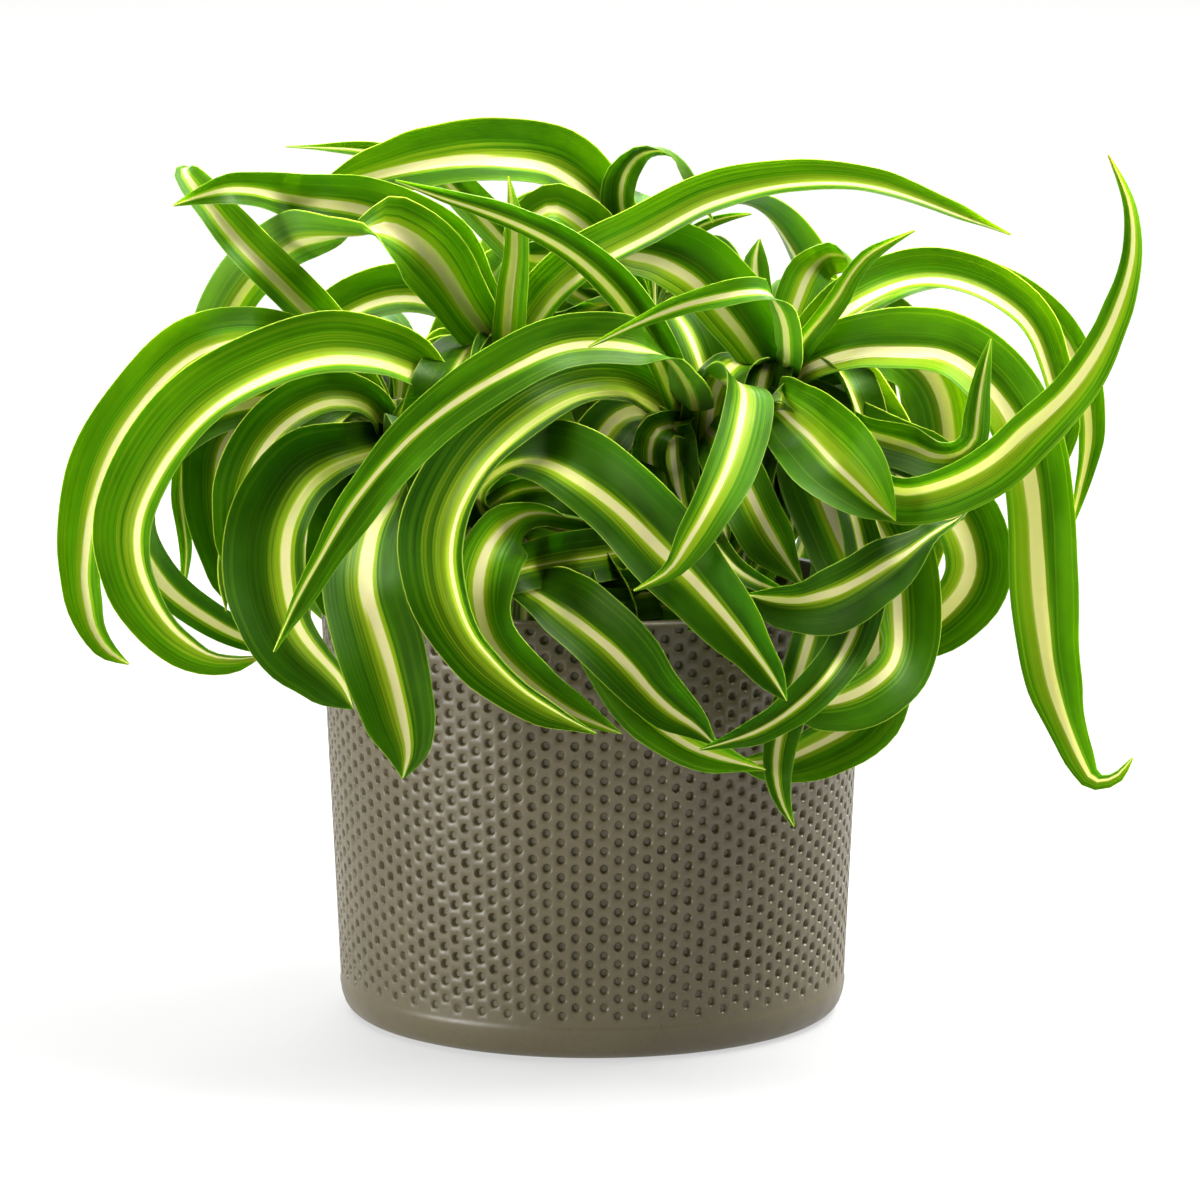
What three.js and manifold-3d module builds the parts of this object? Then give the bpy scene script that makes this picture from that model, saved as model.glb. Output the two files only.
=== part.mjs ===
import * as THREE from 'three';
import Module from 'manifold-3d';

const wasm = await Module();
wasm.setup();

// Curly spider plant in a round dimpled ceramic pot. Millimetres, +Z up, origin under the pot's middle.
const potHeight = 104.4;
const rimRadius = 65.7;
const baseRadius = 60.9;
const cornerRadius = 5;
const wallThickness = 4;
const floorThickness = 6;
const footBandHeight = 8.7;
const footBandStep = 0.35;
const turnedSides = 64;
const holeSides = 20;

const soilEdgeHeight = 92;
const soilMiddleHeight = 94.5;
const fitGap = 0.3;

const crownRadius = 6;
const crownTopRadius = 4.6;
const crownBottom = 62;
const crownDome = 1.6;
const crownSides = 10;

const edgeThickness = 0.7;
const ribThickness = 1.1;
const tipWidth = 1.1;
const ringSpacing = 12.5;
const rearRingSpacing = 17;
const leafGap = 1.9;
const potGap = 3;
const shortestEdge = 0.02;

// The plant is seen from the front by an eye at this distance and height. A leaf's path is given on
// the upright sheet through the pot's middle, then moved along the sight line by its depth.
const eyeDistance = 1300;
const eyeHeight = 301.2;
const eye = new THREE.Vector3(0, -eyeDistance, eyeHeight);

// Crowns: where each leafy stem stands in the mix, and where its leaves fan out (across, up, depth).
const crowns = {
  leftCrown: { foot: [-22, 6], fan: [-21, 155, -6], colour: '#3f7d1c' },
  middleCrown: { foot: [20, -6], fan: [24, 138, 8], colour: '#478720' },
  rightCrown: { foot: [43, 0], fan: [46, 151, 0], colour: '#3b761b' },
  rearCrown: { foot: [12, 30], fan: [12, 164, -30], colour: '#427f22' },
  outerLeftCrown: { foot: [-44, 0], fan: [-48, 137, 0], colour: '#4b8a22' },
  lowCrown: { foot: [-16, -30], fan: [-17, 113, 28], colour: '#3d7a1e' },
};

// Leaves: name, crown, fold of the channel in degrees, then the path from fan to tip. Each row has
// across, up, depth toward the eye, turn of the blade in degrees, width.
const leaves = [
  ['topArch', 'rearCrown', 22, [
    [9, 184, -26, 0, 9], [3, 197, -20, 20, 13], [-8, 206, -14, 25, 18], [-24, 208, -8, 28, 19],
    [-40, 206, -2, 28, 17], [-54, 202, 2, 25, 13], [-66, 199, 4, 20, 0]]],
  ['leftReach', 'leftCrown', 20, [
    [-27, 175, 2, 10, 9], [-36, 187, 10, 10, 14], [-53, 195, 17, 8, 14], [-70, 197, 22, 10, 12],
    [-86, 199, 25, 10, 8], [-100, 195, 26, 0, 0]]],
  ['leftFold', 'outerLeftCrown', 24, [
    [-58, 160, -12, 20, 9], [-70, 173, -18, 20, 12], [-83, 186, -22, 20, 12], [-93, 198, -25, 15, 9],
    [-97, 203, -30, 10, 5], [-96, 204, -38, 0, 0]]],
  ['leftDroop', 'leftCrown', 18, [
    [-30, 170, 8, 0, 14], [-39, 183, 16, 0, 18], [-48, 190, 18, 30, 17], [-59, 190, 14, 110, 14],
    [-72, 187, 8, 165, 14], [-83, 178, 2, 170, 14], [-90, 166, -2, 175, 13], [-94, 151, -4, 175, 0]]],
  ['bigLeft', 'outerLeftCrown', 24, [
    [-39, 154, 20, 20, 10], [-48, 160, 30, 30, 15], [-63, 162, 36, 30, 18], [-78, 158, 40, 30, 18],
    [-94, 149, 42, 30, 18], [-106, 135, 42, 30, 17.5], [-113, 118, 42, 28, 17], [-111, 103, 42, 28, 15],
    [-102, 90, 42, 36, 12], [-90, 84, 42, 50, 8], [-80, 86, 40, 50, 0]]],
  ['outerLeft', 'outerLeftCrown', 24, [
    [-60, 158, 8, 20, 9], [-80, 165, 12, 25, 13], [-96, 162, 14, 25, 14], [-110, 149, 14, 25, 14],
    [-119, 134, 14, 20, 14], [-123, 117, 14, 15, 13], [-123, 101, 14, 10, 10], [-119, 89, 14, 0, 6],
    [-112, 84, 14, 0, 0]]],
  ['diagonal', 'middleCrown', 14, [
    [24, 148, 20, 150, 11], [19, 159, 32, 100, 12], [7, 163, 44, 20, 13], [-8, 162, 52, 10, 13],
    [-24, 154, 60, 5, 13], [-41, 141, 68, 0, 12], [-56, 123, 76, 0, 10], [-67, 105, 82, 0, 6],
    [-77, 87, 84, 0, 0]]],
  ['bigHook', 'middleCrown', 24, [
    [19, 146, 16, 20, 9], [9, 153, 26, 30, 14], [-4, 153, 36, 32, 17], [-18, 146, 48, 32, 19],
    [-31, 133, 60, 32, 19], [-38, 117, 70, 30, 19], [-37, 101, 78, 28, 17], [-30, 87, 82, 28, 13],
    [-15, 74, 84, 34, 9], [1, 67, 84, 30, 0]]],
  ['leftBack', 'outerLeftCrown', 18, [
    [-58, 137, 12, 10, 12], [-70, 132, 24, 10, 18], [-78, 119, 36, 8, 20], [-79, 104, 46, 5, 20],
    [-74, 89, 54, 0, 17], [-64, 79, 60, 0, 12], [-58, 73, 64, 0, 0]]],
  ['broadHang', 'outerLeftCrown', 16, [
    [-47, 129, 32, 0, 12], [-53, 117, 52, 0, 17], [-55, 103, 68, 0, 20], [-51, 87, 78, 0, 21],
    [-47, 72, 81, 0, 18], [-45, 62, 81, 0, 10], [-46, 56, 80, 0, 0]]],
  ['innerHook', 'middleCrown', 18, [
    [14, 122, 26, 20, 9], [2, 118, 38, 20, 12], [-11, 119, 50, 10, 15], [-21, 115, 64, 0, 17],
    [-26, 104, 76, 10, 16], [-25, 92, 80, 30, 14], [-18, 83, 82, 20, 12], [-6, 74, 83, 5, 8],
    [7, 67, 83, 0, 0]]],
  ['lowDiagonal', 'lowCrown', 18, [
    [-13, 109, 44, 60, 10], [-11, 104, 58, 30, 14], [-3, 97, 70, 5, 17], [7, 87, 77, 0, 17],
    [17, 75, 80, 0, 13], [25, 69, 81, 0, 7], [30, 64, 81, 0, 0]]],
  ['highDiagonal', 'lowCrown', 16, [
    [-22, 121, 32, 150, 8], [-19, 127, 42, 110, 8], [-9, 131, 56, 15, 13], [6, 125, 68, 0, 19],
    [19, 111, 78, 0, 20], [31, 97, 82, 0, 16], [41, 84, 85, 0, 9], [47, 75, 85, 0, 0]]],
  ['foldOver', 'middleCrown', 16, [
    [26, 145, 24, 150, 10], [32, 152, 36, 120, 12], [36, 151, 48, 40, 12], [36, 141, 60, 5, 12],
    [32, 129, 70, 0, 12], [25, 116, 78, 0, 9], [18, 106, 84, 0, 4], [10, 102, 85, 0, 0]]],
  ['rightSweep', 'rightCrown', 16, [
    [43, 149, 14, 0, 12], [48, 148, 26, 0, 17], [55, 143, 38, 0, 20], [62, 134, 48, 5, 19],
    [69, 126, 56, 30, 14], [78, 124, 62, 10, 15], [90, 129, 64, 0, 15], [104, 140, 64, 0, 12],
    [117, 152, 62, 0, 10], [125, 168, 58, 0, 7.5], [129, 183, 55, 0, 5], [128, 196, 52, 0, 3],
    [123, 207, 50, 0, 0]]],
  ['rightFall', 'rightCrown', 22, [
    [50, 157, 8, -20, 11], [62, 162, 16, -26, 15], [75, 163, 22, -26, 17], [87, 161, 27, -22, 17],
    [98, 152, 31, -12, 17.5], [105, 139, 34, 0, 17], [108, 122, 36, 0, 17], [109, 103, 37, 0, 17.5],
    [111, 83, 37, 0, 15], [116, 66, 37, 0, 9], [122, 55, 36, 20, 5], [127, 56, 35, 40, 4],
    [131, 61, 34, 20, 0]]],
  ['rightArch', 'rightCrown', 24, [
    [53, 166, -6, -20, 9], [64, 175, -10, -28, 13], [79, 180, -13, -30, 14], [94, 177, -15, -30, 13],
    [106, 168, -17, -30, 12], [111, 156, -18, -25, 10], [114, 142, -19, -15, 7], [112, 129, -20, 0, 0]]],
  ['farRight', 'rightCrown', 22, [
    [57, 163, -26, -15, 8], [74, 171, -38, -20, 10], [96, 172, -44, -20, 10], [112, 162, -46, -15, 10],
    [120, 146, -46, -10, 8], [119, 131, -46, 0, 6], [116, 118, -45, 0, 0]]],
  ['topRight', 'leftCrown', 22, [
    [-14, 171, 0, -20, 12], [-3, 182, 8, -25, 13], [12, 190, 14, -25, 12], [28, 198, 18, -25, 11],
    [48, 202, 20, -25, 9], [67, 201, 20, -25, 7], [84, 195, 20, -20, 4.5], [100, 188, 20, -10, 0]]],
  ['topCross', 'middleCrown', 20, [
    [20, 152, 22, -20, 9], [15, 163, 30, -20, 10], [6, 176, 36, -20, 9.5], [-6, 186, 39, -20, 8],
    [-21, 193, 40, -20, 6], [-34, 197, 40, -15, 3.5], [-47, 201, 40, 0, 0]]],
  ['spike', 'leftCrown', 30, [
    [-20, 165, 10, 0, 9], [-19, 176, 14, 0, 8.5], [-18, 187, 16, 0, 6.5], [-20, 202, 16, 0, 0]]],
  ['crossingTip', 'rightCrown', 18, [
    [47, 160, 30, 150, 8], [46, 169, 38, 140, 8], [42, 175, 44, 60, 7.5], [33, 174, 48, 10, 6.5],
    [21, 171, 50, 0, 5], [9, 166, 51, 0, 2.5], [-1, 161, 51, 0, 0]]],
  ['smallTip', 'rightCrown', 25, [
    [42, 163, -14, 0, 8], [40, 172, -20, 0, 8], [39, 180, -22, 0, 7], [40, 187, -24, 0, 0]]],
  ['curlTop', 'rightCrown', 18, [
    [47, 164, -10, 0, 9], [49, 172, -16, 0, 12], [53, 180, -20, 0, 11], [59, 183, -22, 50, 9],
    [62, 179, -16, 100, 7], [58, 174, -10, 140, 0]]],
  ['thinTip', 'rightCrown', 26, [
    [51, 162, 12, 0, 6], [58, 171, 14, 0, 6], [65, 182, 14, 0, 4.5], [77, 189, 14, 0, 0]]],
  ['rearTip', 'rearCrown', 26, [
    [15, 176, -36, 50, 6], [21, 186, -40, 40, 5], [28, 191, -42, 30, 3.5], [38, 193, -42, 0, 0]]],
  ['topCurl', 'rearCrown', 22, [
    [8, 186, -20, 0, 8], [6, 199, -18, 0, 9], [10, 206, -18, 40, 8], [17, 207, -22, 80, 8],
    [23, 202, -28, 120, 6], [29, 191, -32, 140, 0]]],
  ['rightSpike', 'rightCrown', 26, [
    [64, 142, 20, 50, 8], [81, 134, 38, 50, 9], [90, 136, 46, 30, 9], [92, 146, 48, 0, 8],
    [93, 154, 48, 0, 4], [96, 163, 46, 0, 0]]],
  ['twistBlade', 'rightCrown', 16, [
    [62, 139, 12, 90, 9], [81, 127, 30, 100, 10], [89, 122, 44, 80, 8], [81, 116, 54, 50, 8],
    [70, 107, 62, 10, 14], [57, 99, 68, 0, 16], [45, 98, 72, 0, 10], [37, 101, 72, 0, 0]]],
  ['shortThin', 'middleCrown', 25, [
    [26, 124, 40, 0, 7], [30, 113, 56, 0, 6.5], [38, 105, 66, 0, 5], [51, 100, 72, 0, 0]]],
  ['rightLoop', 'rightCrown', 18, [
    [62, 141, -2, 0, 12], [80, 130, 8, 0, 16], [91, 118, 16, 0, 17], [93, 105, 20, 0, 17],
    [86, 95, 22, 0, 15], [75, 89, 20, 0, 9], [66, 90, 14, 0, 0]]],
  ['lowRing', 'rightCrown', 20, [
    [62, 131, 30, 0, 14], [73, 113, 40, -10, 18], [76, 98, 50, -15, 17], [75, 84, 58, -15, 15],
    [67, 76, 66, -20, 15], [56, 73, 71, -20, 12], [46, 74, 74, -10, 0]]],
  ['lowSweep', 'rightCrown', 22, [
    [62, 124, 40, -20, 9], [66, 105, 56, -20, 11], [62, 89, 68, -10, 11], [53, 77, 77, 0, 10],
    [41, 68, 82, 0, 7], [26, 63, 84, 0, 0]]],
  ['underLeft', 'lowCrown', 20, [
    [-6, 110, 46, 0, 8], [-2, 98, 60, 0, 10], [3, 86, 72, 0, 12], [12, 73, 77, 0, 13],
    [25, 63, 79, 0, 10], [42, 58, 78, 0, 0]]],
  ['underRight', 'rightCrown', 20, [
    [67, 110, 28, 0, 14], [70, 88, 44, 0, 16], [67, 71, 58, -10, 16], [56, 63, 67, -10, 14],
    [44, 59, 72, 0, 9], [34, 60, 74, 0, 0]]],
  ['hangTip', 'rightCrown', 20, [
    [57, 110, 36, 0, 9], [53, 90, 56, 0, 10], [48, 74, 70, 0, 9], [45, 60, 74, 0, 8],
    [46, 51, 75, 0, 4], [49, 44, 75, 0, 0]]],
  ['leftLoop', 'outerLeftCrown', 20, [
    [-65, 146, -14, 0, 9], [-88, 146, -20, 0, 11], [-104, 135, -20, 10, 11], [-110, 119, -16, 0, 10],
    [-104, 105, -12, 0, 10], [-92, 95, -10, 0, 9], [-79, 89, -10, 0, 6], [-69, 88, -12, 0, 0]]],
  ['thinHang', 'outerLeftCrown', 26, [
    [-68, 149, -28, 0, 7], [-84, 149, -32, 0, 7], [-95, 141, -32, 0, 6], [-99, 127, -30, 0, 5.5],
    [-98, 112, -26, 0, 3.5], [-99, 100, -22, 0, 0]]],
  ['darkCurl', 'outerLeftCrown', 18, [
    [-62, 142, -16, 0, 12], [-77, 146, -22, 10, 16], [-89, 139, -24, 10, 17], [-91, 124, -22, 0, 16],
    [-87, 107, -18, 0, 13], [-81, 93, -14, 0, 0]]],
  ['leftInner', 'outerLeftCrown', 24, [
    [-53, 148, 10, 20, 9], [-65, 150, 20, 26, 12], [-78, 142, 28, 26, 13], [-85, 129, 33, 22, 13],
    [-86, 113, 36, 20, 10], [-83, 100, 36, 20, 0]]],
  ['darkUpper', 'leftCrown', 22, [
    [-29, 168, -8, 20, 10], [-42, 175, -10, 26, 14], [-57, 172, -12, 26, 14], [-69, 162, -12, 20, 11],
    [-76, 148, -12, 0, 0]]],
  ['farReach', 'rearCrown', 22, [
    [-4, 175, -38, 0, 8], [-17, 184, -42, 0, 10], [-27, 194, -44, 0, 10], [-38, 204, -45, 10, 9],
    [-51, 208, -45, 30, 5], [-73, 209, -45, 30, 0]]],
  ['greyCurl', 'rearCrown', 18, [
    [7, 178, -16, 0, 10], [0, 189, -12, 10, 13], [-10, 195, -8, 20, 12], [-17, 190, -4, 30, 9],
    [-20, 182, -2, 30, 0]]],
  ['backBand', 'leftCrown', 20, [
    [-23, 172, -14, 140, 8], [-19, 182, -16, 60, 10], [-9, 183, -16, 20, 10], [3, 187, -16, 10, 8],
    [15, 193, -18, 0, 0]]],
  ['darkRight', 'rightCrown', 18, [
    [42, 159, 8, 0, 14], [34, 171, 10, 0, 18], [24, 181, 8, 0, 18], [12, 185, 2, 0, 14],
    [0, 184, -6, 0, 0]]],
  ['innerCurl', 'middleCrown', 20, [
    [19, 142, 22, 20, 8], [14, 139, 32, 20, 9], [15, 129, 38, 0, 8], [23, 120, 40, 0, 0]]],
  ['hangMiddle', 'middleCrown', 16, [
    [29, 139, 24, 0, 11], [35, 129, 38, 0, 14], [42, 115, 48, 0, 13], [51, 103, 54, 0, 0]]],
  ['hangRight', 'rightCrown', 16, [
    [50, 141, 18, 0, 14], [55, 127, 34, 0, 19], [62, 110, 44, 0, 18], [69, 93, 50, 0, 0]]],
  ['rightBackArc', 'rightCrown', 18, [
    [57, 157, -16, -10, 12], [70, 160, -22, -20, 18], [81, 152, -26, -10, 20], [84, 136, -28, 0, 18],
    [80, 119, -28, 0, 12], [73, 107, -24, 0, 0]]],
  ['rightMiddle', 'rightCrown', 16, [
    [59, 145, 6, -10, 11], [69, 139, 18, -20, 14], [81, 134, 24, -15, 13], [94, 129, 24, -10, 0]]],
  ['coreLeft', 'leftCrown', 16, [
    [-25, 148, 6, 0, 9], [-33, 138, 15, 0, 13], [-36, 124, 20, 0, 13], [-34, 108, 22, 0, 0]]],
  ['coreMiddle', 'middleCrown', 16, [
    [18, 144, 14, 20, 9], [8, 145, 22, 20, 13], [0, 134, 27, 0, 15], [-2, 119, 30, 0, 12],
    [2, 106, 31, 0, 0]]],
  ['coreRight', 'middleCrown', 16, [
    [25, 132, 18, 0, 9], [24, 121, 26, 0, 12], [20, 109, 32, 0, 10], [14, 101, 34, 0, 0]]],
  ['coreLow', 'lowCrown', 16, [
    [-11, 116, 30, 0, 8], [-2, 119, 30, 0, 10], [7, 113, 31, 0, 9], [14, 104, 34, 0, 0]]],
  ['coreBack', 'leftCrown', 16, [
    [-13, 160, -6, -20, 9], [-2, 162, -12, -20, 14], [8, 152, -14, 0, 15], [11, 136, -12, 0, 12],
    [8, 118, -10, 0, 0]]],
];

// Leaves of the far side fall in lanes round three crowns: reach outward and height, base to tip.
const rearUpper = [[6, 178], [20, 190], [38, 190], [55, 176], [66, 152], [68, 124], [60, 98], [48, 86]];
const rearLower = [[8, 162], [20, 166], [32, 156], [43, 134], [50, 108], [52, 84], [48, 62]];
const rearWidths = [8, 13, 15.5, 16, 15, 12, 8, 0];
const rearLanes = [
  { crown: 'rearCrown', shape: rearUpper, bearings: [38, 60, 80, 100, 122, 144], reach: 1, rise: 1 },
  { crown: 'rearCrown', shape: rearLower, bearings: [52, 78, 103, 130], reach: 1, rise: 1 },
  { crown: 'rightCrown', shape: rearUpper, bearings: [64, 44, 24], reach: 0.72, rise: 0.8 },
  { crown: 'outerLeftCrown', shape: rearUpper, bearings: [116, 134, 152], reach: 0.72, rise: 0.72 },
];

const degrees = Math.PI / 180;

function fromFront(across, up, depth) {
  const share = depth / eyeDistance;
  return new THREE.Vector3(across * (1 - share), -depth, up + (eyeHeight - up) * share);
}

function toFront(point) {
  const share = -point.y / eyeDistance;
  return [point.x / (1 - share), (point.z - eyeHeight * share) / (1 - share), -point.y];
}

// A smooth line through the points, its knots spaced by the square root of the distance.
function smoothPoint(points, span, share) {
  const a = points[Math.max(span - 1, 0)];
  const b = points[span];
  const c = points[span + 1];
  const d = points[Math.min(span + 2, points.length - 1)];
  const first = Math.sqrt(Math.max(a.distanceTo(b), b.distanceTo(c) * 0.5));
  const middle = Math.sqrt(b.distanceTo(c));
  const last = Math.sqrt(Math.max(c.distanceTo(d), b.distanceTo(c) * 0.5));
  const enter = new THREE.Vector3().subVectors(b, a).divideScalar(first)
    .sub(new THREE.Vector3().subVectors(c, a).divideScalar(first + middle))
    .add(new THREE.Vector3().subVectors(c, b).divideScalar(middle)).multiplyScalar(middle);
  const leave = new THREE.Vector3().subVectors(c, b).divideScalar(middle)
    .sub(new THREE.Vector3().subVectors(d, b).divideScalar(middle + last))
    .add(new THREE.Vector3().subVectors(d, c).divideScalar(last)).multiplyScalar(middle);
  const square = share * share;
  const cube = square * share;
  return new THREE.Vector3()
    .addScaledVector(b, 2 * cube - 3 * square + 1)
    .addScaledVector(enter, cube - 2 * square + share)
    .addScaledVector(c, 3 * square - 2 * cube)
    .addScaledVector(leave, cube - square);
}

// Walks a path and sets stations at even steps, each with its place, turn and width.
function setStations(points, turns, widths, spacing) {
  const walk = [];
  const steps = 12;
  let length = 0;
  for (let span = 0; span < points.length - 1; span += 1) {
    for (let step = 0; step <= steps; step += 1) {
      if (step === 0 && span > 0) continue;
      const share = step / steps;
      const blend = share * share * (3 - 2 * share);
      const place = smoothPoint(points, span, share);
      if (walk.length) length += place.distanceTo(walk[walk.length - 1].place);
      walk.push({
        place,
        length,
        turn: turns[span] + (turns[span + 1] - turns[span]) * blend,
        width: widths[span] + (widths[span + 1] - widths[span]) * blend,
      });
    }
  }
  const count = 2 * Math.max(4, Math.round(length / spacing));
  const stations = [];
  let index = 0;
  for (let i = 0; i <= count; i += 1) {
    const goal = (length * i) / count;
    while (index < walk.length - 2 && walk[index + 1].length < goal) index += 1;
    const a = walk[index];
    const b = walk[index + 1];
    const share = (goal - a.length) / (b.length - a.length);
    stations.push({
      place: a.place.clone().lerp(b.place, share),
      turn: (a.turn + (b.turn - a.turn) * share) * degrees,
      width: a.width + (b.width - a.width) * share,
      along: goal,
    });
  }
  return stations;
}

// The blade's cross direction and upper face at each station, from the line of its path.
function setFrames(blade) {
  const { stations, fold } = blade;
  stations.forEach((station, i) => {
    const before = stations[Math.max(i - 1, 0)].place;
    const after = stations[Math.min(i + 1, stations.length - 1)].place;
    const forward = new THREE.Vector3().subVectors(after, before).normalize();
    const face = blade.side
      ? new THREE.Vector3().crossVectors(blade.side, forward)
      : new THREE.Vector3().subVectors(eye, station.place).normalize();
    face.addScaledVector(forward, -face.dot(forward)).normalize();
    const cross = new THREE.Vector3().crossVectors(forward, face);
    station.across = cross.clone().multiplyScalar(Math.cos(station.turn))
      .addScaledVector(face, -Math.sin(station.turn));
    station.face = face.clone().multiplyScalar(Math.cos(station.turn))
      .addScaledVector(cross, Math.sin(station.turn));
    const offset = blade.side ? 0 : -0.5 * station.width * Math.sin(station.turn) * Math.sin(fold);
    station.middle = station.place.clone().addScaledVector(cross, offset);
  });
}

function bladePoint(station, fold, side) {
  const reach = 0.5 * Math.max(station.width, tipWidth) * side;
  return station.middle.clone()
    .addScaledVector(station.across, reach * Math.cos(fold))
    .addScaledVector(station.face, Math.abs(reach) * Math.sin(fold));
}

// Leaves leave their stem one after another, each a golden angle further round it.
const goldenAngle = 2.4;
const rootOffset = 0.2;
let leavesGrown = 0;

function makeBlade(name, crownName, foldDegrees, points, turns, widths, side) {
  const crown = crowns[crownName];
  const fan = fromFront(...crown.fan);
  const root = new THREE.Vector3(crown.foot[0], crown.foot[1], soilMiddleHeight).lerp(fan, 0.7);
  leavesGrown += 1;
  const round = leavesGrown * goldenAngle;
  for (const point of [root, fan]) {
    point.x += rootOffset * Math.cos(round);
    point.y += rootOffset * Math.sin(round);
    point.z += (leavesGrown % 7) * 0.1;
  }
  const firstWidth = Math.min(widths[0], 7);
  const blade = {
    name,
    crownName,
    side,
    fold: foldDegrees * degrees,
    fanLength: root.distanceTo(fan),
    stations: setStations([root, fan, ...points], [turns[0], turns[0], ...turns],
      [3.5, firstWidth, ...widths], side ? rearRingSpacing : ringSpacing),
  };
  setFrames(blade);
  return blade;
}

const blades = leaves.map(([name, crownName, fold, rows]) => makeBlade(
  name, crownName, fold,
  rows.map((row) => fromFront(row[0], row[1], row[2])),
  rows.map((row) => row[3]), rows.map((row) => row[4]), null,
));

for (const { crown, shape, bearings, reach, rise } of rearLanes) {
  const [footX, footY] = crowns[crown].foot;
  bearings.forEach((bearing, lane) => {
    const side = new THREE.Vector3(Math.sin(bearing * degrees), -Math.cos(bearing * degrees), 0);
    const stagger = lane % 2 ? 0.88 : 1;
    const points = shape.map(([out, height], i) => {
      const angle = (bearing + i * 1.7) * degrees;
      return new THREE.Vector3(
        footX + Math.cos(angle) * out * reach * stagger,
        footY + 4 + Math.sin(angle) * out * reach,
        96 + (height - 96) * rise * stagger,
      );
    });
    const widths = rearWidths.slice(rearWidths.length - shape.length);
    widths[0] = 8;
    blades.push(makeBlade(`${crown}Rear${bearing}`, crown, 18, points, shape.map(() => 0), widths, side));
  });
}

// Crown stems: upright round feet in the mix, leaning to the fan above it.
function crownRings(crown) {
  const fan = fromFront(...crown.fan);
  const top = soilMiddleHeight + 3;
  const rings = [[crown.foot[0], crown.foot[1], crownBottom, crownRadius],
    [crown.foot[0], crown.foot[1], top, crownRadius]];
  for (const share of [0.35, 0.7, 1]) {
    const ease = share * share * (3 - 2 * share);
    rings.push([crown.foot[0] + (fan.x - crown.foot[0]) * ease, crown.foot[1] + (fan.y - crown.foot[1]) * ease,
      top + (fan.z - top) * share, crownRadius + (crownTopRadius - crownRadius) * share]);
  }
  return rings;
}

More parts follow.
